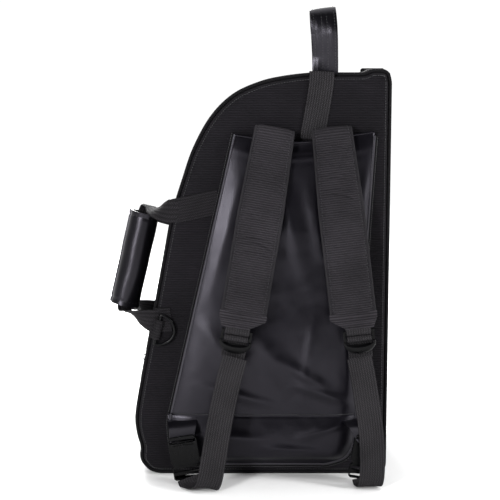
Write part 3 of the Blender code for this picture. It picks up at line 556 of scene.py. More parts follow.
def padded_shell(name, body, lip_y, face_y, nodes, seed):
    """One half of the case as one closed skin: padded face, rolled edge, gusset, lip and lining."""
    sign = 1.0 if face_y(0) > lip_y else -1.0     # the way the face looks along Y
    points, marks, lined = [], [], []
    lengths = run_lengths(OUTLINE)
    count = len(OUTLINE)

    def add(ring, depth, lining=False, swell=0.0, face_map=False):
        for i, (x, z) in enumerate(ring):
            place = Vector((x, depth(x, z), z))
            slack = 0.6 + 0.55 * ripple(place, 11, seed)
            points.append(place + in_face(NORMALS[i]) * swell * slack)
            marks.append((x, z) if face_map else (place.y, lengths[i]))
        lined.append(lining)

    def puffed_face(x, z):
        """The padding rises from nothing at its edge, with slack in it."""
        place = Vector((x, 0, z))
        edge = min((p - Vector((x, z))).length for p in OUTLINE[::12])
        soft = 0.0010 + 0.0009 * ripple(place, 9, seed) + 0.00035 * ripple(place, 34, seed)
        return face_y(z) + sign * (min(1.0, edge / 0.06) * soft + 0.0002 * ripple(place, 80, seed))

    steps = 30
    for k in range(1, steps + 1):
        add(shrunk(inset_ring(0.0125), (k / steps) ** 0.9), puffed_face, face_map=True)
    # The rolled edge: inset and depth below the face
    for inset, down in ((0.0098, 0.0006), (0.0078, 0.0020), (0.0064, 0.0046),
                        (0.0058, 0.0074), (0.0048, 0.0100)):
        add(inset_ring(inset), lambda x, z: face_y(z) - sign * down, face_map=True)
    add(inset_ring(0.0024), lambda x, z: face_y(z) - sign * 0.0122)
    spans = 14
    for k in range(spans + 1):
        share = k / spans
        swell = 0.0022 * math.sin(math.pi * share) ** 0.7 if 0 < k < spans else 0.0
        add(inset_ring(0.0002), lambda x, z: (face_y(z) - sign * 0.0140) * (1 - share)
            + (lip_y + sign * 0.0012) * share, swell=swell)
    # The lip, and the lining behind it
    for inset, back in ((0.0008, 0.0003), (0.0022, 0.0), (0.0060, 0.0004)):
        add(inset_ring(inset), lambda x, z: lip_y + sign * back)
    add(inset_ring(0.0112), lambda x, z: lip_y + sign * 0.0010, lining=True)
    for share in (0.06, 0.3, 0.6, 0.9):
        add(inset_ring(0.0122), lambda x, z: lip_y * (1 - share)
            + (face_y(z) - sign * 0.0180) * share, lining=True, swell=-0.0006)
    add(inset_ring(0.0150), lambda x, z: face_y(z) - sign * 0.0132, lining=True)
    for k in range(10, 0, -1):
        add(shrunk(inset_ring(0.0190), k / 10), lambda x, z: face_y(z) - sign * WALL,
            lining=True, face_map=True)

    faces = ring_faces(len(lined), count)
    finish = [1 if lining else 0 for lining in lined[1:] for k in range(count)]
    # The two middle lines are closed with strips across them
    last = (len(lined) - 1) * count
    faces += [tuple(range(count)), tuple(range(last, last + count))]
    finish += [0, 1]
    piece = mesh_piece(name, points, faces, marks, ["case_fabric", "lining"], body, sharp=60)
    for polygon, kind in zip(piece.data.polygons, finish):
        polygon.material_index = kind
    stands(piece, "case_fabric", *nodes)


def piping(name, body, depth, node):
    """A covered cord in the seam round a half."""
    route = [Vector((x, depth(z), z)) for x, z in inset_ring(0.0026)]
    sides = [in_face(n) for n in NORMALS]
    cord = sweep(name, route, sides, round_section(PIPING_R, 10), "piping", body, closed=True)
    stands(cord, "piping", node)


def build_case():
    padded_shell("back_shell", "back_half", SPLIT_Y - ZIP_HALF, lambda z: HARNESS_Y,
                 ("back_panel", "back_gusset"), 1.0)
    padded_shell("cover_shell", "cover", SPLIT_Y + ZIP_HALF, cover_face,
                 ("cover_panel", "cover_gusset"), 5.0)
    piping("back_welt", "back_half", lambda z: HARNESS_Y + WALL - PIPING_R, "back_piping")
    piping("cover_welt", "cover", lambda z: cover_face(z) - WALL + PIPING_R, "cover_piping")
    seam = [Vector((x, HARNESS_Y - 0.0004, z)) for x, z in inset_ring(0.0100)[6:-6]]
    stitches("face_seam_stitches", [(seam, -Y)], "back_half", 0.0036)
    build_zip()
    build_spine()
    build_boards()


def zip_ring(sunk):
    """The outline without its straight spine, and its outward directions."""
    ring = inset_ring(sunk)
    ear = CASE_HEIGHT - CORNER_R + 0.001
    first = next(i for i, p in enumerate(OUTLINE) if p.y > ear and p.x > 0.1)
    last = next(i for i, p in enumerate(OUTLINE) if p.x > SPINE_X - 0.0005)
    order = [*range(first, len(OUTLINE)), *range(last)]
    return [ring[i] for i in order], [in_face(NORMALS[i]) for i in order]


def build_zip():
    for body, sign, node in (("back_half", -1, "zip_tape_back"), ("cover", 1, "zip_tape_cover")):
        ring, outs = zip_ring(0.0030)
        middle = SPLIT_Y + sign * (ZIP_HALF / 2 + 0.0002)
        route = [Vector((x, middle, z)) for x, z in ring]
        section = flat_section(ZIP_HALF - 0.0004, 0.0012)
        tape = sweep(f"{node}_woven", route, [Y] * len(route), section, "zip_tape", body)
        stands(tape, "zip_tape", node)
        # The coil: a row of beads along the zip line
        line = [Vector((x, SPLIT_Y + sign * 0.0014, z)) for x, z in zip_ring(0.0016)[0]]
        line = resample(line, 0.0006, False)
        bead, gap = round_section(0.0011, 6), round_section(0.0006, 6)
        coil = sweep(f"{node}_coil", line, [Y] * len(line), lambda i: bead if i % 3 else gap,
                     "slider_metal", body)
        stands(coil, "slider_metal")
        rows = []
        for across in (0.0040, 0.0100):
            y = SPLIT_Y + sign * across
            rows.append(([Vector((x, y, z)) for x, z in zip_ring(0.0022)[0]], outs))
        stitch_rows(f"{node}_stitches", rows, body)


def stitch_rows(name, rows, body, pitch=0.0040):
    """Stitches whose outward direction changes along the row."""
    parts = []
    for line, outs in rows:
        for i in range(0, len(line) - 4, 4):
            parts.append(([line[i], line[i + 4]], outs[i + 2]))
    stitches(name, parts, body, pitch)


def build_spine():
    """A strip of fabric joins the halves along the straight side."""
    end = CORNER_R + 0.003
    heights = [end + (CASE_HEIGHT - 2 * end) * k / 150 for k in range(151)]
    route = [Vector((SPINE_X - 0.0030, SPLIT_Y, z)) for z in heights]
    half = ZIP_HALF + 0.001
    outer = [(-half + 2 * half * k / 12, 0.0009) for k in range(13)]
    section = outer + [(a, -0.0009) for a, b in reversed(outer)]
    strip = sweep("spine_hinge_cloth", route, [Y] * len(route), section, "case_fabric", None)
    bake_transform(strip)
    stands(strip, "case_fabric", "spine_hinge_back", "spine_hinge_cover")


def build_boards():
    for body, node in (("back_half", "base_board_back"), ("cover", "base_board_cover")):
        low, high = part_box(node)
        start, end = (Vector((x, (low[1] + high[1]) / 2, (low[2] + high[2]) / 2))
                      for x in (low[0], high[0]))
        route = [start.lerp(end, k / 30) for k in range(31)]
        section = flat_section(high[1] - low[1], high[2] - low[2])
        board = sweep(f"{node}_lined", route, [Y] * len(route), section, "lining", body)
        stands(board, "board", node)


# ---------------------------------------------------------------- the leather panel

def at_height(line, z):
    """X of a line of (x, z) points at a height."""
    if z <= line[0][1]:
        return line[0][0]
    for (xa, za), (xb, zb) in zip(line, line[1:]):
        if z <= zb:
            return xa + (xb - xa) * (z - za) / (zb - za)
    return line[-1][0]


# The panel's sides as (x, z) points from its foot up, and its top as (share across, z)
LEFT_EDGE = [(-0.1200, 0.0215), (-0.1285, 0.0260), (-0.1340, 0.0360), (-0.1370, 0.050),
             (-0.1392, 0.066), (-0.1400, 0.088), (-0.1150, 0.1975), (-0.0880, 0.3140),
             (-0.0640, 0.4180), (-0.0400, 0.5225)]
RIGHT_EDGE = [(0.1000, 0.0215), (0.1150, 0.0240), (0.1265, 0.0310), (0.1340, 0.0405),
              (0.1390, 0.053), (0.1410, 0.068), (0.1420, 0.085), (0.1470, 0.190),
              (0.1520, 0.290), (0.1565, 0.380), (0.1655, 0.5275)]
TOP_EDGE = [(0.0, 0.5230), (0.10, 0.5200), (0.26, 0.5125), (0.48, 0.5120), (0.66, 0.5160),
            (0.85, 0.5230), (1.0, 0.5275)]
SEAM_Z = 0.098


def top_height(u):
    for (ua, za), (ub, zb) in zip(TOP_EDGE, TOP_EDGE[1:]):
        if u <= ub:
            return za + (zb - za) * (u - ua) / (ub - ua)
    return TOP_EDGE[-1][1]


def crease(x, z, start, end, width, height):
    """A fold along a line from start to end, fading at both ends."""
    a, b = Vector(start), Vector(end)
    way = b - a
    here = Vector((x, z)) - a
    share = here.dot(way) / way.length_squared
    if not 0.0 < share < 1.0:
        return 0.0
    off = (here - way * share).dot(Vector((-way.y, way.x)).normalized())
    return height * math.sin(math.pi * share) * bell(off, width)


# Each fold: start, end, half width and height
FOLDS = [
    ((0.026, 0.470), (0.066, 0.290), 0.012, 0.0024),
    ((0.070, 0.450), (0.088, 0.330), 0.010, 0.0018),
    ((-0.030, 0.470), (-0.085, 0.260), 0.010, 0.0022),
    ((-0.066, 0.400), (-0.118, 0.200), 0.010, 0.0020),
    ((-0.100, 0.250), (-0.020, 0.150), 0.014, 0.0020),
    ((-0.020, 0.240), (0.050, 0.130), 0.016, 0.0026),
    ((0.085, 0.270), (0.060, 0.110), 0.012, 0.0028),
    ((0.020, 0.190), (0.120, 0.125), 0.010, 0.0026),
    ((0.040, 0.150), (0.150, 0.112), 0.007, 0.0026),
    ((0.050, 0.066), (0.150, 0.094), 0.007, 0.0026),
    ((-0.130, 0.074), (0.020, 0.060), 0.009, 0.0020),
    ((-0.020, 0.050), (0.120, 0.041), 0.007, 0.0020),
    ((0.138, 0.330), (0.160, 0.500), 0.008, 0.0026),
    ((0.135, 0.110), (0.128, 0.260), 0.008, 0.0020),
    ((-0.110, 0.150), (0.030, 0.112), 0.008, 0.0018),
]
EDGE_RISE, LOW_BULGE, FOOT_BULGE = 0.0085, 0.0036, 0.0050


def leather_lift(x, z, u, v):
    """How far the leather stands off its flat place; u and v are shares across and up."""
    folds = 0.0
    for start, end, width, height in FOLDS:
        folds += 1.35 * crease(x, z, start, end, width, height)
    span = at_height(RIGHT_EDGE, z) - at_height(LEFT_EDGE, z)
    left, right = max(0.0, u) * span, max(0.0, 1 - u) * span
    place = Vector((x, 0, z))
    sides = (1 - math.exp(-left / 0.030)) * (1 - math.exp(-right / 0.014))
    foot_z = LEFT_EDGE[0][1]
    low = bell(max(z, SEAM_Z) - 0.185, 0.085)
    below = math.sin(math.pi * clamp((z - foot_z) / (SEAM_Z - foot_z))) ** 1.3
    high = clamp((z - 0.38) / 0.12)
    swell = EDGE_RISE * (1 - 0.45 * high) + LOW_BULGE * low + FOOT_BULGE * below * (z < SEAM_Z)
    soft = 0.0022 * ripple(Vector((x, 0, z * 0.6)), 13, 3.0) + 0.0008 * ripple(place, 30, 6.0)
    small = 0.00016 * ripple(place, 75, 7.0)
    near_seam = math.exp(-abs(z - SEAM_Z) / 0.010)
    gathers = 0.0005 * ripple(Vector((x, 0, 0)), 42, 4.0) * near_seam
    # The open top rolls back towards the case, with a fold along it
    down = top_height(u) - z
    roll = 0.0090 * max(0.0, 1 - down / 0.040) ** 1.4 - 0.0022 * bell(down - 0.024, 0.0060)
    middle = math.sin(math.pi * clamp(u)) ** 0.5
    puffed = (folds + swell + soft + small + gathers) * sides * ease(v / 0.03)
    return max(-0.0020, puffed - roll * middle) - 0.0010 * bell(z - SEAM_Z, 0.0014)


def panel_span(z):
    """Left and right edge of the leather at a height."""
    return at_height(LEFT_EDGE, z), at_height(RIGHT_EDGE, z)


def on_leather(x, z, v=None):
    """The point of the leather's face at (x, z)."""
    left, right = panel_span(z)
    foot = LEFT_EDGE[0][1]
    if v is None:
        v = (z - foot) / (top_height(0.5) - foot)
    lift = leather_lift(x, z, (x - left) / (right - left), v)
    return Vector((x, LEATHER_FACE_Y - lift - 0.0002, z))


def build_panel():
    columns, rows = 150, 230
    foot = LEFT_EDGE[0][1]
    points, uvs = [], []
    for side in (0, 1):
        for j in range(rows + 1):
            v = j / rows
            for i in range(columns + 1):
                u = i / columns
                z = foot + (top_height(u) - foot) * v
                left, right = panel_span(z)
                x = left + (right - left) * u
                y = LEATHER_FACE_Y - leather_lift(x, z, u, v) + side * 0.0022
                points.append(Vector((x, y, z)))
                uvs.append((x, z))
    faces = []

    def at(side, i, j):
        return (side * (rows + 1) + j) * (columns + 1) + i

    for j in range(rows):
        for i in range(columns):
            for s in (0, 1):
                faces.append((at(s, i, j), at(s, i + 1, j), at(s, i + 1, j + 1), at(s, i, j + 1)))
    for j in range(rows):
        for i in (0, columns):
            faces.append((at(0, i, j), at(0, i, j + 1), at(1, i, j + 1), at(1, i, j)))
    for i in range(columns):
        for j in (0, rows):
            faces.append((at(0, i, j), at(0, i + 1, j), at(1, i + 1, j), at(1, i, j)))
    panel = mesh_piece("harness_leather", points, faces, uvs, "leather", "back_half", sharp=60)
    stands(panel, "leather", "harness_panel")
    build_panel_edge()


def build_panel_edge():
    """The bound edge runs down the sides and round the foot; a hem lies along the open top."""
    left_top, right_top = LEFT_EDGE[-1][1], RIGHT_EDGE[-1][1]
    heights = [left_top - 0.0050 * k for k in range(97)]
    line = [(at_height(LEFT_EDGE, z), z) for z in heights]
    line += LEFT_EDGE[2::-1]
    line += [(-0.112 + 0.0055 * k, 0.0213) for k in range(38)]
    line += RIGHT_EDGE[:4] + [(0.1375, 0.0480)]
    heights = [0.0550 + 0.0050 * k for k in range(95)]
    line += [(at_height(RIGHT_EDGE, z), z) for z in heights]
    route = smooth_route([Vector((x, LEATHER_FACE_Y + 0.0010, z)) for x, z in line[::2]], 0.003)
    inward = [Vector((way.z, 0, -way.x)) for way in tangents(route)]
    folded = [(-0.0010, -0.0020), (0.0004, -0.0024), (0.0018, -0.0018), (0.0026, -0.0004),
              (0.0026, 0.0010), (0.0016, 0.0019), (0.0000, 0.0020), (-0.0012, 0.0008)]
    edge = sweep("harness_leather_edge", route, inward, folded, "edge_leather", "back_half")
    stands(edge, "leather")
    left, right = at_height(LEFT_EDGE, left_top), at_height(RIGHT_EDGE, right_top)
    top = []
    for u in [k / 24 for k in range(25)]:
        x = left + (right - left) * u
        top.append(Vector((x, LEATHER_FACE_Y - 0.0002, top_height(u) - 0.0015)))
    top = smooth_route(top, 0.004)
    hem = sweep("harness_leather_hem", top, [Z] * len(top), round_section(0.0016, 8), "leather",
                "back_half")
    stands(hem, "leather")
    beside = [p + n * 0.0050 for p, n in zip(route, inward)]
    rim = [on_leather(p.x, p.z) for p in beside]
    z = SEAM_Z + 0.0026
    left, right = panel_span(z)
    cross = [on_leather(left + (right - left) * k / 140, z, 0.15) for k in range(1, 140)]
    stitches("harness_leather_stitches", [(rim, -Y), (cross, -Y)], "back_half", 0.0034)
    low = [p + n * 0.0035 + Y * 0.0052 for p, n in zip(route, inward)]
    wall = sweep("harness_pocket_wall", low, inward, flat_section(0.0060, 0.0050), "piping",
                 "back_half")
    stands(wall, "leather", "harness_panel_binding")


# ---------------------------------------------------------------- straps

# Creases are (height, depth, tilt); web is the long webbing's route
STRAPS = {
    "left": {
        "top_x": 0.018, "foot_x": -0.029, "lock_x": -0.037,
        "side": Vector((0.9862, 0, -0.1655)),
        "creases": [
            (0.4990, 0.0011, 0.1), (0.4720, 0.0016, 0.05), (0.4650, 0.0014, 0.0),
            (0.4560, 0.0010, -0.1), (0.4150, 0.0012, 0.1), (0.4060, 0.0018, 0.0),
            (0.3990, 0.0012, -0.1), (0.3890, 0.0018, 0.05), (0.3810, 0.0014, -0.15),
            (0.3720, 0.0018, -0.1), (0.3640, 0.0012, 0.0), (0.3520, 0.0014, -0.1),
            (0.3400, 0.0012, -0.2), (0.3200, 0.0006, 0.0), (0.2900, 0.0006, 0.1),
        ],
        "web": [
            (-0.0400, -0.1000, 0.196), (-0.0488, -0.1080, 0.165), (-0.0590, -0.1150, 0.120),
            (-0.0656, -0.1220, 0.085), (-0.0722, -0.1280, 0.045), (-0.0765, -0.1305, 0.022),
            (-0.0815, -0.1285, 0.0098), (-0.0895, -0.1200, 0.0048), (-0.1000, -0.1080, 0.0042),
            (-0.1060, -0.0995, 0.0060), (-0.1090, -0.0957, 0.0120),
        ],
        "buckle": (-0.1135, -0.0900, 0.0310), "turn": 9.0, "anchor": (-0.1235, -0.0600, 0.0955),
    },
    "right": {
        "top_x": 0.102, "foot_x": 0.135, "lock_x": 0.142,
        "side": Vector((0.9931, 0, 0.1171)),
        "creases": [
            (0.5080, 0.0012, 0.2), (0.5010, 0.0012, 0.1), (0.4880, 0.0008, 0.0),
            (0.4660, 0.0012, 0.0), (0.4590, 0.0014, 0.05), (0.4520, 0.0014, 0.0),
            (0.4440, 0.0016, 0.1), (0.4350, 0.0014, 0.15), (0.4240, 0.0010, 0.2),
            (0.4100, 0.0008, 0.1), (0.3600, 0.0006, 0.0), (0.3000, 0.0006, 0.1),
        ],
        "web": [
            (0.1430, -0.1000, 0.196), (0.1490, -0.1060, 0.165), (0.1560, -0.1110, 0.120),
            (0.1605, -0.1160, 0.085), (0.1625, -0.1200, 0.045), (0.1620, -0.1205, 0.022),
            (0.1600, -0.1190, 0.0098), (0.1590, -0.1130, 0.0048), (0.1565, -0.1060, 0.0042),
            (0.1545, -0.0995, 0.0060), (0.1530, -0.0957, 0.0120),
        ],
        "buckle": (0.1540, -0.0900, 0.0310), "turn": -9.0, "anchor": (0.1395, -0.0600, 0.0955),
    },
}
PAD_TOP, PAD_FOOT, PAD_W, PAD_T = 0.527, 0.252, 0.066, 0.014
PAD_FOOT_Y = -0.0917
ROOT_W, ROOT_T, ROOT_L, FOLD_W = 0.057, 0.0042, 0.060, 0.0045
# Depth of the strap's middle by height, from behind the leather over the top and down
PAD_ROUTE = [(-0.0535, 0.474), (-0.0535, 0.498), (-0.0545, 0.516), (-0.0580, 0.5275),
             (-0.0645, 0.5300), (-0.0700, 0.5235), (-0.0713, 0.5080), (-0.0725, 0.4900),
             (-0.0755, 0.4620), (-0.0800, 0.4250), (-0.0846, 0.3850), (-0.0882, 0.3500),
             (-0.0905, 0.3150), (-0.0915, 0.2850), (-0.0917, 0.2640), (-0.0917, 0.2530)]


def creased(strap, a, bow, seed):
    """How far the strap's creases sink its face at a place across and along it."""
    sunk = 0.0
    for n, (height, depth, tilt) in enumerate(strap["creases"]):
        off = bow + tilt * a + 0.0016 * ripple(Vector((a, n, seed)), 40, 1.0) - height
        fade = max(0.0, 0.55 + 0.9 * ripple(Vector((a * 0.6, n * 3.1, seed)), 30, 2.0))
        sunk += 1.3 * depth * fade * (bell(off, 0.0013) - 0.55 * bell(off - 0.0030, 0.0022))
    return sunk


def build_strap(hand, strap):
    side = strap["side"]
    slope = (strap["foot_x"] - strap["top_x"]) / (PAD_FOOT - PAD_TOP)
    seed = 11.0 if hand == "left" else 23.0
    knots = [Vector((strap["top_x"] + (z - PAD_TOP) * slope, y, z)) for y, z in PAD_ROUTE]
    route = smooth_route(knots, 0.0012)
    route = [p for p in route if p.z > PAD_FOOT + 0.0085 or p.y > -0.080]
    past = run_lengths(route)
    total = past[-1]

    def half_width(i):
        share = clamp((past[i] - ROOT_L) / (total - ROOT_L))
        half = (ROOT_W + (PAD_W - ROOT_W) * min(1.0, share * 2.2)) / 2
        return half * (1 - 0.03 * (past[i] < ROOT_L))

    def section(i):
        gone, left = past[i], total - past[i]
        fill = clamp((gone - ROOT_L + 0.006) / 0.026) * clamp((left + 0.0005) / 0.008) ** 0.4
        half = half_width(i)
        thick = ROOT_T + (PAD_T - ROOT_T) * fill
        top, low = [], []
        for k in range(33):
            a = half * (-1 + 2 * k / 32)
            puff = (1 - min(1.0, abs(a) / (half - FOLD_W)) ** 4) ** 0.5
            t = 0.0036 + (thick - 0.0036) * puff
            # Creases bow downwards across the strap and gather towards its inner edge
            bow = route[i].z + 0.010 * (a / half) ** 2 + 0.12 * a
            mark = Vector((a * 0.12, seed, bow))
            lift = 0.0007 * ripple(mark, 55, seed) + 0.0003 * ripple(mark, 130, seed + 3)
            lift -= creased(strap, a, bow, seed)
            lift *= puff * (1.0 if gone > ROOT_L * 0.7 else 0.3)
            top.append((a, t / 2 + lift))
            low.append((a, -t / 2 + 0.4 * lift))
        return top + list(reversed(low))

    pad = sweep(f"shoulder_pad_{hand}", route, [side] * len(route), section, "strap_fabric",
                "back_half", sharp=60)
    stands(pad, "strap_fabric", f"shoulder_strap_{hand}", f"strap_root_{hand}")
    # Folded edge down both sides, with its stitches
    rows = []
    for sign, place in ((-1, "inner"), (1, "outer")):
        line = [here + side * (sign * (half_width(i) - 0.0012)) for i, here in enumerate(route)
                if past[i] > ROOT_L * 0.4]
        binding = sweep(f"strap_binding_{hand}_{place}", line, [side] * len(line),
                        round_section(0.0023, 10, 0.95), "binding", "back_half")
        stands(binding, "strap_fabric")
        outs = [way.cross(side) for way in tangents(line)]
        rows.append(([p - side * sign * 0.0036 + o * 0.0026 for p, o in zip(line, outs)], outs))
    stitch_rows(f"strap_stitches_{hand}", rows, "back_half")
    build_tab(hand, strap, side)
    build_lock(hand, strap, side)
    # The long webbing turns flat towards the floor over its last points
    web, turned, step = [Vector(p) for p in strap["web"]], 5, 0.003
    sides = follow(web, [side] * (len(web) - turned) + [X] * turned, step)
    long_web = webbing(f"strap_webbing_{hand}_woven", smooth_route(web, step), sides, "webbing",
                       "back_half", thick=WEB_T + 0.0003)
    stands(long_web, "webbing", f"strap_webbing_{hand}")
    build_buckle(hand, strap)


def upright(strap, side, x, z):
    """The frame of a piece at the pad's foot, turned with the strap."""
    turn = Matrix.Rotation(-math.atan2(side.z, side.x), 4, "Y")
    return Matrix.Translation((strap[x], PAD_FOOT_Y, z)) @ turn


def build_tab(hand, strap, side):
    """The ribbed webbing tab under the padding, folded to a trapezoid."""
    place = upright(strap, side, "foot_x", PAD_FOOT)
    shift = strap["lock_x"] - strap["foot_x"]
    wide, narrow, rib = 0.0350, 0.0215, 0.0047
    rings = []
    steps = 48
    for i in range(steps + 1):
        z = 0.0100 - 0.0235 * i / steps
        share = clamp((0.0010 - z) / 0.0135)
        half = wide - (wide - narrow) * share
        thick = 0.0026 + 0.0030 * share + 0.0008 * math.sin(2 * math.pi * z / rib)
        across = [-1 + k / 8 for k in range(17)]
        top = [(shift * share + half * a, thick * (1 - 0.5 * abs(a) ** 6)) for a in across]
        ring = [place @ Vector((a, -0.0010 - b, z)) for a, b in top]
        ring += [place @ Vector((a, -0.0010 + b * 0.8, z)) for a, b in reversed(top)]
        rings.append(ring)
    tab = loft(f"strap_tab_{hand}", rings, "tab_fabric", "back_half", sharp=60)
    stands(tab, "strap_fabric", f"strap_end_tab_{hand}")


def follow(points, values, step):
    """Values at a route's points, carried to the steps smooth_route makes."""
    made = []
    for (a, b), (va, vb) in zip(zip(points, points[1:]), zip(values, values[1:])):
        steps = max(1, round((Vector(b) - Vector(a)).length / step))
        made += [va + (vb - va) * (k / steps) for k in range(steps)]
    made.append(values[-1])
    return made


def bend(reach, steps, z=0.0):
    """Half a turn over a bar, from the far side to the near side."""
    angles = [math.pi * k / steps for k in range(steps + 1)]
    return [(0, reach * math.cos(a), z + reach * math.sin(a)) for a in angles]


def build_lock(hand, strap, side):
    turn = upright(strap, side, "lock_x", 0.2335)
    body = f"{hand}_lock"
    stands(polished(f"ladder_lock_{hand}", 0.0009, 3, "buckle_plastic", body), "buckle_plastic")
    # The curved lip stands out in front of the webbing
    rings = []
    count, wide, deep = 26, 0.0222, 0.0135
    for i in range(count + 1):
        angle = math.pi * (1.02 + 0.96 * i / count)
        centre = Vector((wide * math.cos(angle), -0.0045, -0.0135 + deep * math.sin(angle)))
        swell = math.sin(math.pi * i / count)
        out = Vector((math.cos(angle), 0, math.sin(angle)))
        half, thick = 0.0016 + 0.0044 * swell, 0.0012 + 0.0006 * swell
        ring = []
        for c, s in round_section(1.0):
            ring.append(turn @ (centre - out * (half * c) + Y * (thick * s - 0.0022 * swell * c)))
        rings.append(ring)
    lip = loft(f"lock_lip_{hand}", rings, "buckle_plastic", body, sharp=70)
    stands(lip, "buckle_plastic")
    # The loop from the padded tab round the lock's top bar
    reach = 0.0046
    loop = [(0, -reach * 0.6, 0.0110), (0, -reach, 0.0060)]
    loop += [(0, y, -z) for x, y, z in reversed(bend(reach, 8))]
    loop += [(0, reach, 0.0060), (0, reach * 0.5, 0.0110)]
    route = smooth_route([turn @ Vector(p) for p in loop], 0.0012)
    cloth = webbing(f"lock_loop_{hand}_woven", route, [side] * len(route), "webbing", "back_half")
    stands(cloth, "webbing", f"lock_loop_{hand}")
    # The long webbing's bight round the middle bar
    mid, reach = -0.0105, 0.0042
    tail = [(0, reach + 0.0006, mid - 0.0300), (0, reach, mid - 0.0150), (0, reach, mid - 0.006)]
    tail += bend(reach, 6, mid)
    tail += [(0, -reach * 0.9, mid - 0.0015), (0, -reach * 0.85, mid - 0.0030)]
    route = smooth_route([turn @ Vector(p) for p in tail], 0.0015)
    bight = webbing(f"webbing_bight_{hand}_woven", route, [side] * len(route), "webbing", None,
                    WEB_W - 0.001)
    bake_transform(bight)
    stands(bight, "webbing", f"webbing_bight_{hand}")


def build_buckle(hand, strap):
    body = f"{hand}_socket"
    for piece in (polished(f"buckle_socket_{hand}", 0.0011, 3, "buckle_plastic", body),
                  polished(f"buckle_plug_{hand}", 0.0005, 2, "buckle_plastic", "back_half")):
        stands(piece, "buckle_plastic")
    turn = Matrix.Rotation(math.radians(-strap["turn"]), 4, "Y")
    place = Matrix.Translation(strap["buckle"]) @ turn
    # Grip ridges across the socket's face
    for n, z in enumerate((0.0305, 0.0335, 0.0365)):
        line = [place @ Vector((-0.016 + 0.004 * k, -0.0066, z)) for k in range(9)]
        bar = sweep(f"buckle_ridge_{hand}_{n}", line, [turn @ Z] * len(line),
                    round_section(0.0009, 8), "buckle_plastic", body)
        stands(bar, "buckle_plastic")
    # The sewn anchor narrows from the leather's edge to the socket's slot
    top = place @ Vector((0, -0.0030, 0.0395))
    start = Vector(strap["anchor"]) + Vector((0.004, 0.0012, 0.0015))
    corner = Vector(strap["anchor"]) + Vector((0.003, 0, -0.004))
    middle = (corner + top) / 2 + Vector((0, -0.0025, 0.002))
    points = [start, corner, middle, top, place @ Vector((0, 0.0035, 0.0375))]
    route = smooth_route(points, 0.003)
    widths = follow(points, [0.047, 0.047, 0.042, WEB_W - 0.002, WEB_W - 0.002], 0.003)
    cloth = sweep(f"buckle_anchor_{hand}_sewn", route, [turn @ X] * len(route),
                  lambda i: flat_section(widths[i], WEB_T), "leather", None)
    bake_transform(cloth)
    stands(cloth, "leather", f"buckle_anchor_{hand}")


# ---------------------------------------------------------------- handle, haul loop, ring

HANDLE_TOP_Z, HANDLE_FOOT_Z, HANDLE_OUT, WRAP_Y = 0.408, 0.243, 0.047, 0.030
WRAP_L, WRAP_R, LOOP_T, GRIP_W = 0.149, 0.0220, 0.0036, 0.022
WRAP_LEAN = math.radians(2.5)
FRONT_DROP = 0.030
# The roll's depth as a share of its width
FLAT = 0.85
HAUL_X, HAUL_W, HAUL_T = 0.093, 0.038, 0.0042


def handle_frame():
    lean = math.atan2(SIDE_TOP.x - SIDE_FOOT.x, SIDE_TOP.z - SIDE_FOOT.z) + WRAP_LEAN
    z = (HANDLE_TOP_Z + HANDLE_FOOT_Z) / 2
    place = Matrix.Translation((side_x(z) - HANDLE_OUT, WRAP_Y, z))
    return place @ Matrix.Rotation(lean, 4, "Y"), lean


def loop_points(place, front):
    """Route of a handle loop, its width directions and its widths, as in the model."""
    grip = WRAP_L / 2 + 0.004
    lean = handle_frame()[1]
    across = place.to_3x3() @ X
    along = Vector((math.sin(lean), 0, math.cos(lean)))
    y_grip = 0.85 * WRAP_R + LOOP_T / 2 + 0.003 if front else 0.0
    inside = [place @ Vector((0, y_grip, z)) for z in (grip, 0.03, -0.03, -grip)]
    ends = []
    for z in (HANDLE_TOP_Z, HANDLE_FOOT_Z):
        z -= FRONT_DROP * front
        y = cover_face(z) + WEB_T / 2 + 0.0003 if front else HARNESS_Y - WEB_T / 2 - 0.0003
        ends.append(Vector((side_x(z) - 0.004, y, z)))
    upper, lower = ends
    # How far the loop bows off the straight way between its end and the grip
    far, near = Vector((-0.006, -0.004, 0.001)), Vector((0.001, 0, 0.004))
    if front:
        far, near = Vector((-0.014, 0.004, -0.002)), Vector((-0.004, 0, 0.004))
    down = Vector((1, 1, -1))
    sewn = Vector((0.016, 0, 0))
    points = [upper + sewn, upper,
              upper.lerp(inside[0], 0.35) + far, upper.lerp(inside[0], 0.75) + near, *inside,
              lower.lerp(inside[3], 0.75) + near * down, lower.lerp(inside[3], 0.35) + far * down,
              lower, lower + sewn]
    mixed = [(along + across).normalized(), (across - along).normalized()]
    sides = [along, along, mixed[0], *[across] * 6, mixed[1], -along, -along]
    wide, tight = WEB_W * 0.95, WEB_W * 0.70
    widths = [wide, wide, tight, *[GRIP_W] * 6, tight * 0.8, wide * 0.9, wide * 0.95]
    return points, sides, widths


def build_loop(place, front, node):
    points, sides, widths = loop_points(place, front)
    step = 0.003
    loop = webbing(f"{node}_woven", smooth_route(points, step), follow(points, sides, step),
                   "handle_webbing", None, follow(points, widths, step), LOOP_T * 0.8)
    middle = (points[1] + points[-2]) / 2
    middle.z = place.translation.z
    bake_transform(loop)
    stands(loop, "webbing", node)


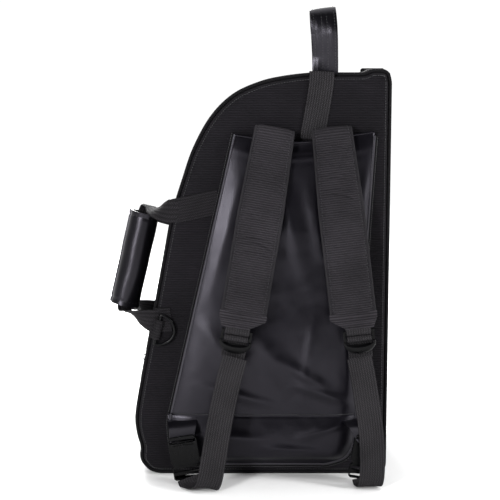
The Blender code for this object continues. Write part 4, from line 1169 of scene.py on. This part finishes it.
def build_roll(place):
    """The leather roll: one sheet whose edges meet, one lying over the other."""
    steps, count = 60, 44
    rings = []
    for i in range(steps + 1):
        z = -WRAP_L / 2 + WRAP_L * i / steps
        near = min(i, steps - i) / steps * WRAP_L
        outer, inner = [], []
        for k in range(count + 1):
            share = k / count
            angle = math.radians(164) + 2 * math.pi * 1.02 * share
            a, b = math.cos(angle), math.sin(angle)
            r = WRAP_R + 0.0006 * ripple((a * 0.03, b * 0.03, z), 30, 5)
            r += 0.0030 * max(0.0, (share - 0.86) / 0.14)
            r += 0.0006 * bell(near, 0.0025) - 0.0010 * bell(near - 0.007, 0.0016)
            outer.append(place @ Vector((r * a, r * FLAT * b, z)))
            inner.append(place @ Vector(((r - 0.0026) * a, (r - 0.0026) * FLAT * b, z)))
        rings.append(outer + inner[::-1])
    roll = loft("handle_roll", rings, "handle_leather", "back_handle", sharp=60)
    stands(roll, "leather", "handle_wrap")
    rows = []
    r = WRAP_R - 0.0004
    for z in (-WRAP_L / 2 + 0.0068, WRAP_L / 2 - 0.0068):
        line, outs = [], []
        for k in range(81):
            angle = math.radians(170) + 2 * math.pi * 0.96 * k / 80
            a, b = math.cos(angle), math.sin(angle)
            line.append(place @ Vector((r * a, r * FLAT * b, z)))
            outs.append(place.to_3x3() @ Vector((a, b, 0)))
        rows.append((line, outs))
    stitch_rows("handle_roll_stitches", rows, "back_handle", pitch=0.0046)


def build_handle():
    place = handle_frame()[0]
    build_loop(place, False, "handle_loop_back")
    build_loop(place, True, "handle_loop_front")
    build_roll(place)
    # Strips sewn flat where the loops end
    top_x, foot_x = side_x(HANDLE_TOP_Z), side_x(HANDLE_FOOT_Z)
    anchors = {
        "handle_anchor_upper": [(top_x + 0.004, HANDLE_TOP_Z), (top_x + 0.030, 0.413),
                                (-0.082, 0.4185), (-0.064, 0.4220)],
        "handle_anchor_lower": [(foot_x + 0.004, HANDLE_FOOT_Z), (foot_x + 0.016, HANDLE_FOOT_Z),
                                (foot_x + 0.030, 0.244)],
    }
    for node, points in anchors.items():
        route = smooth_route([Vector((x, HARNESS_Y - 0.0016, z)) for x, z in points], 0.003)
        strip = webbing(f"{node}_woven", route, [Z] * len(route), "handle_webbing", "back_half")
        stands(strip, "webbing", node)


def build_haul_loop():
    foot_y = HARNESS_Y + 0.008
    foot_z = CASE_HEIGHT + 0.0006
    half = [(0.0024, -0.003), (0.0028, 0.005), (0.0060, 0.022), (0.0125, 0.045),
            (0.0150, 0.062), (0.0115, 0.080), (0.0055, 0.0890), (0.0, 0.0905)]
    outline = [(-y, up) for y, up in half] + [(y, up) for y, up in reversed(half[:-1])]
    lean = [HAUL_X - 0.005 * (up / 0.092) ** 2 for y, up in outline]
    knots = [Vector((x, foot_y + y, foot_z + up)) for x, (y, up) in zip(lean, outline)]
    route = smooth_route(knots, 0.002)
    seams = (0.0038, 0.0150)

    def section(i):
        top = []
        for k in range(17):
            a = -HAUL_W / 2 + HAUL_W * k / 16
            t = HAUL_T / 2 * (1 - 0.45 * (abs(a) / (HAUL_W / 2)) ** 6)
            groove = 0.0007 * (bell(abs(a) - seams[0], 0.0007) + bell(abs(a) - seams[1], 0.0009))
            top.append((a, t - groove + 0.00012 * ripple(route[i] + X * a, 45, 3)))
        return top + [(a, -b) for a, b in reversed(top)]

    # The loop turns to the left just over its foot, and its top slants
    turned = []
    for p in route:
        up = p.z - foot_z
        quick = clamp(up / 0.022) * (1 - 0.9 * clamp((up - 0.056) / 0.018))
        turned.append(Vector((1, -0.28 * quick, 0.13 * ease((up - 0.010) / 0.075))).normalized())
    loop = sweep("haul_loop_leather", route, turned, section, "handle_leather", None, sharp=60)
    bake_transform(loop)
    stands(loop, "leather", "haul_loop", "haul_loop_tongue")
    rows = []
    heart = Vector((HAUL_X, foot_y, 0.675))
    for across in (-seams[1], -seams[0], seams[0], seams[1]):
        line, outs = [], []
        for p, way, side in list(zip(route, tangents(route), turned))[6:-6]:
            out = way.cross(X)
            if out.dot(p - heart) < 0:
                out = -out
            line.append(p + side * across + out * 0.0021)
            outs.append(out)
        rows.append((line, outs))
    stitch_rows("haul_loop_stitches", rows, "haul_loop")
    # Top webbing, sewn down the middle of the face
    points = [(0.0867, 0.595), (0.0815, 0.560), (0.0757, 0.527), (0.0740, 0.515)]
    knots = [Vector((0.0877, HARNESS_Y - 0.0005, CASE_HEIGHT + 0.001))]
    knots += [Vector((x, HARNESS_Y - 0.0024, z)) for x, z in points]
    rail = smooth_route(knots, 0.003)
    strip = webbing("top_webbing_woven", rail, [X] * len(rail), "webbing", "back_half")
    stands(strip, "webbing", "top_webbing")


def build_ring():
    lean = handle_frame()[1]
    z = HANDLE_FOOT_Z - 0.014
    pivot = Vector((side_x(z) + 0.0125, HARNESS_Y - WEB_T - 0.0020 - 0.0012, z))
    place = Matrix.Translation(pivot) @ Matrix.Rotation(lean, 4, "Y")
    half, deep = 0.023, 0.025
    angles = [math.radians(-90 + 180 * k / 32) for k in range(33)]
    bow = [Vector((deep * math.cos(a), 0, half * math.sin(a))) for a in angles]
    bar = [Vector((0, 0, half - 2 * half * k / 12)) for k in range(1, 12)]
    route = [place @ p for p in bow + bar]
    ring = sweep("d_ring_round", route, [Y] * len(route), round_section(0.0025), "ring_plastic",
                 "d_ring_body", closed=True)
    stands(ring, "ring_plastic", "d_ring")
    # The tab is folded round the ring's bar
    fold = [(-0.0100, 0.0022), (-0.0058, 0.0008), (-0.0028, -0.0036), (0.0014, -0.0044),
            (0.0048, -0.0020), (0.0050, 0.0018)]
    line = smooth_route([place @ Vector((x, y, 0)) for x, y in fold], 0.001)
    along = place.to_3x3() @ Z
    tab = sweep("d_ring_tab", line, [along] * len(line), flat_section(0.030, 0.0012, 10, 0.0001),
                "handle_webbing", "back_half")
    stands(tab, "webbing")


# ---------------------------------------------------------------- cover pocket and small parts

def build_pocket():
    low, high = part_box("cover_pocket")
    half, foot, top, deep, r = (high[0] - low[0]) / 2, 0.085, 0.385, 0.034, 0.022
    outline = []
    corners = ((1, foot + r), (1, top - r), (-1, top - r), (-1, foot + r))
    for n, (side, z) in enumerate(corners):
        centre = (side * (half - r), z)
        outline += arc(centre, r, 90 * n - 90, 90 * n, 8)
    outline = resample(outline, 0.004)
    ways = normals(outline)
    count = len(outline)
    points, marks = [], []

    def middle(p):
        """The nearest point of the pocket's upright middle line."""
        return Vector((0, min(0.29, max(0.18, p.y))))

    def add(ring, out):
        points.extend(Vector((x, cover_face(z) + out(x, z), z)) for x, z in ring)
        marks.extend((x, z + out(x, z)) for x, z in ring)

    steps = 24
    for k in range(1, steps + 1):
        edge = [p - n * 0.008 for p, n in zip(outline, ways)]
        add([middle(p) + (p - middle(p)) * (k / steps) for p in edge], lambda x, z: deep
            + 0.0008 * ripple((x, 0, z), 20, 2) + 0.0016 * (1 - (k / steps) ** 3))
    # The rounded edge and the side: inset and height off the cover
    rim = ((0.0050, 0.0334), (0.0022, 0.0312), (0.0006, 0.0280), (0.0, 0.0240), (0.0, 0.0120),
           (0.0, 0.0020), (0.0010, 0.0004))
    for inset, out in rim:
        add([p - n * inset for p, n in zip(outline, ways)], lambda x, z: out)
    faces = ring_faces(steps + len(rim), count) + [tuple(range(count))]
    pocket = mesh_piece("cover_pocket_cloth", points, faces, marks, "case_fabric", "cover", 60)
    stands(pocket, "case_fabric", "cover_pocket")
    # A welt round its face and a seam round its foot
    outs = [in_face(n) for n in ways]
    for name, height, grow, section in (("welt", 0.0305, -0.0006, round_section(0.0020, 8)),
                                        ("seam", 0.0012, 0.0010, flat_section(0.006, 0.0018))):
        line = [Vector((p.x, cover_face(p.y) + height, p.y)) + n * grow
                for p, n in zip(outline, outs)]
        edge = sweep(f"cover_pocket_{name}", line, outs, section, "piping", "cover", closed=True)
        stands(edge, "piping")
    # Its zip, across the top
    zip_y = cover_face(top) + 0.0175
    line = [Vector((-0.103 + 0.206 * k / 60, zip_y, top + 0.0006)) for k in range(61)]
    tape = sweep("pocket_zip_woven", line, [Y] * len(line), flat_section(0.012, 0.0014), "zip_tape",
                 "cover")
    stands(tape, "zip_tape", "pocket_zip_tape")
    fine = [Vector((-0.101 + 0.0006 * k, zip_y, top + 0.0016)) for k in range(337)]
    bead, gap = round_section(0.0020, 6, 0.5), round_section(0.0014, 6, 0.5)
    coil = sweep("pocket_zip_coil", fine, [Y] * len(fine), lambda i: bead if i % 3 else gap,
                 "slider_metal", "cover")
    stands(coil, "slider_metal")


SMALL_PARTS = {
    "zip_slider_upper": "upper_slider", "zip_slider_lower": "lower_slider",
    "zip_pull_upper": "upper_pull", "zip_pull_lower": "lower_pull",
    "pocket_slider": "pocket_slider_body", "pocket_pull": "pocket_pull_body",
    "zip_bridge_upper": "upper_slider", "zip_bridge_lower": "lower_slider",
    "pocket_bridge": "pocket_slider_body",
}


def build_small_parts():
    for node, body in SMALL_PARTS.items():
        stands(polished(node, 0.0005, 2, "slider_metal", body), "slider_metal")
    stands(polished("zip_end_tab", 0.0022, 4, "case_fabric", "back_half"), "case_fabric")


# ---------------------------------------------------------------- stage, light and camera

WORLD_DARK, WORLD_FRONT, WORLD_BACK, WORLD_CEILING = 0.04, 0.50, 1.06, 0.05


def studio_world():
    """White walls behind the bag, dimmer ones behind the camera, and a dark ceiling."""
    world = bpy.data.worlds.new("studio")
    world.use_nodes = True
    tree = world.node_tree
    background = tree.nodes["Background"]
    coords = tree.nodes.new("ShaderNodeTexCoord")
    split = tree.nodes.new("ShaderNodeSeparateXYZ")
    tree.links.new(coords.outputs["Generated"], split.inputs[0])
    ramp = tree.nodes.new("ShaderNodeValToRGB")
    ramp.color_ramp.interpolation = "EASE"
    stops = ramp.color_ramp.elements
    # Direction along Y from the camera's side to the far side, as shares of the ramp
    levels = [(0.02, WORLD_DARK), (0.11, WORLD_FRONT), (0.40, WORLD_FRONT), (0.76, 1.0)]
    while len(stops) < len(levels):
        stops.new(0.5)
    for stop, (place, level) in zip(stops, levels):
        stop.position, stop.color = place, (level, level, level, 1)
    share = tree.nodes.new("ShaderNodeMapRange")
    share.inputs["From Min"].default_value = -1.0
    tree.links.new(split.outputs[1], share.inputs[0])
    tree.links.new(share.outputs[0], ramp.inputs[0])
    ceiling = tree.nodes.new("ShaderNodeMapRange")
    ceiling.interpolation_type = "SMOOTHSTEP"
    for name, value in (("From Min", 0.30), ("From Max", 0.55), ("To Min", WORLD_BACK),
                        ("To Max", WORLD_CEILING)):
        ceiling.inputs[name].default_value = value
    tree.links.new(split.outputs[2], ceiling.inputs[0])
    product = tree.nodes.new("ShaderNodeMath")
    product.operation = "MULTIPLY"
    tree.links.new(ramp.outputs[0], product.inputs[0])
    tree.links.new(ceiling.outputs[0], product.inputs[1])
    tree.links.new(product.outputs[0], background.inputs[1])
    background.inputs[0].default_value = (1, 1, 1, 1)
    bpy.context.scene.world = world


FLOOR_END, FLOOR_SPAN = 4.5, 26.0
# name: place, size across, size up, power
LIGHTS = {
    "pool": ((0.0, 2.6, 2.8), 6.5, 6.0, 150),
    "key": ((-1.20, -2.00, 0.80), 0.36, 1.1, 56),
    "fill": ((1.95, -0.95, 0.95), 0.40, 1.2, 40),
    "back": ((-0.6, 2.3, 1.5), 1.2, 1.2, 80),
}
SUN = 1.70
FLOOR_SPOT = ((0.0, -0.72, 2.4), 25, 200)
CAMERA_PLACE, CAMERA_TARGET = (-0.018, -1.7355, 0.5714), (-0.018, -0.05, 0.3495)
# Half the width seen, and the distance at which it is seen
HALF_VIEW, VIEW_DISTANCE = 0.375, 1.7


def add_lamp(name, kind, place, turn, **settings):
    data = bpy.data.lights.new(name, kind)
    for key, value in settings.items():
        setattr(data, key, value)
    lamp = bpy.data.objects.new(name, data)
    bpy.context.scene.collection.objects.link(lamp)
    lamp.location, lamp.rotation_euler = place, turn


def looking(place, aim):
    """The turn of a lamp or camera at a place that looks at another."""
    return (Vector(aim) - Vector(place)).to_track_quat("-Z", "Y").to_euler()


def build_stage():
    middle = (0, FLOOR_END - FLOOR_SPAN / 2, 0.0)
    bpy.ops.mesh.primitive_plane_add(size=1, location=middle)
    floor = bpy.context.object
    floor.scale = (FLOOR_SPAN, FLOOR_SPAN, 1)
    floor.name = "floor"
    floor.data.materials.append(floor_material())
    studio_world()
    for name, (place, across, up, power) in LIGHTS.items():
        aim = Vector((0, 0, 0.3)) if name != "pool" else Vector(place) - Z
        add_lamp(name, "AREA", place, looking(place, aim), shape="RECTANGLE", energy=power,
                 size=across, size_y=up)
    place, cone, power = FLOOR_SPOT
    add_lamp("floor_spot", "SPOT", place, (0, 0, 0), energy=power, spot_size=math.radians(cone),
             spot_blend=1.0, shadow_soft_size=0.1)
    add_lamp("sky", "SUN", (0, 0, 0), (math.radians(-8), math.radians(6), 0), energy=SUN,
             angle=math.radians(70))


def build_camera():
    data = bpy.data.cameras.new("camera")
    data.angle = 2 * math.atan(HALF_VIEW / VIEW_DISTANCE)
    data.clip_start, data.clip_end = 0.05, 60
    camera = bpy.data.objects.new("camera", data)
    bpy.context.scene.collection.objects.link(camera)
    camera.location, camera.rotation_euler = CAMERA_PLACE, looking(CAMERA_PLACE, CAMERA_TARGET)
    bpy.context.scene.camera = camera


build_case()
build_panel()
for hand, strap in STRAPS.items():
    build_strap(hand, strap)
build_handle()
build_haul_loop()
build_ring()
build_pocket()
build_small_parts()
build_stage()
build_camera()
bpy.context.scene.view_settings.view_transform = "Standard"
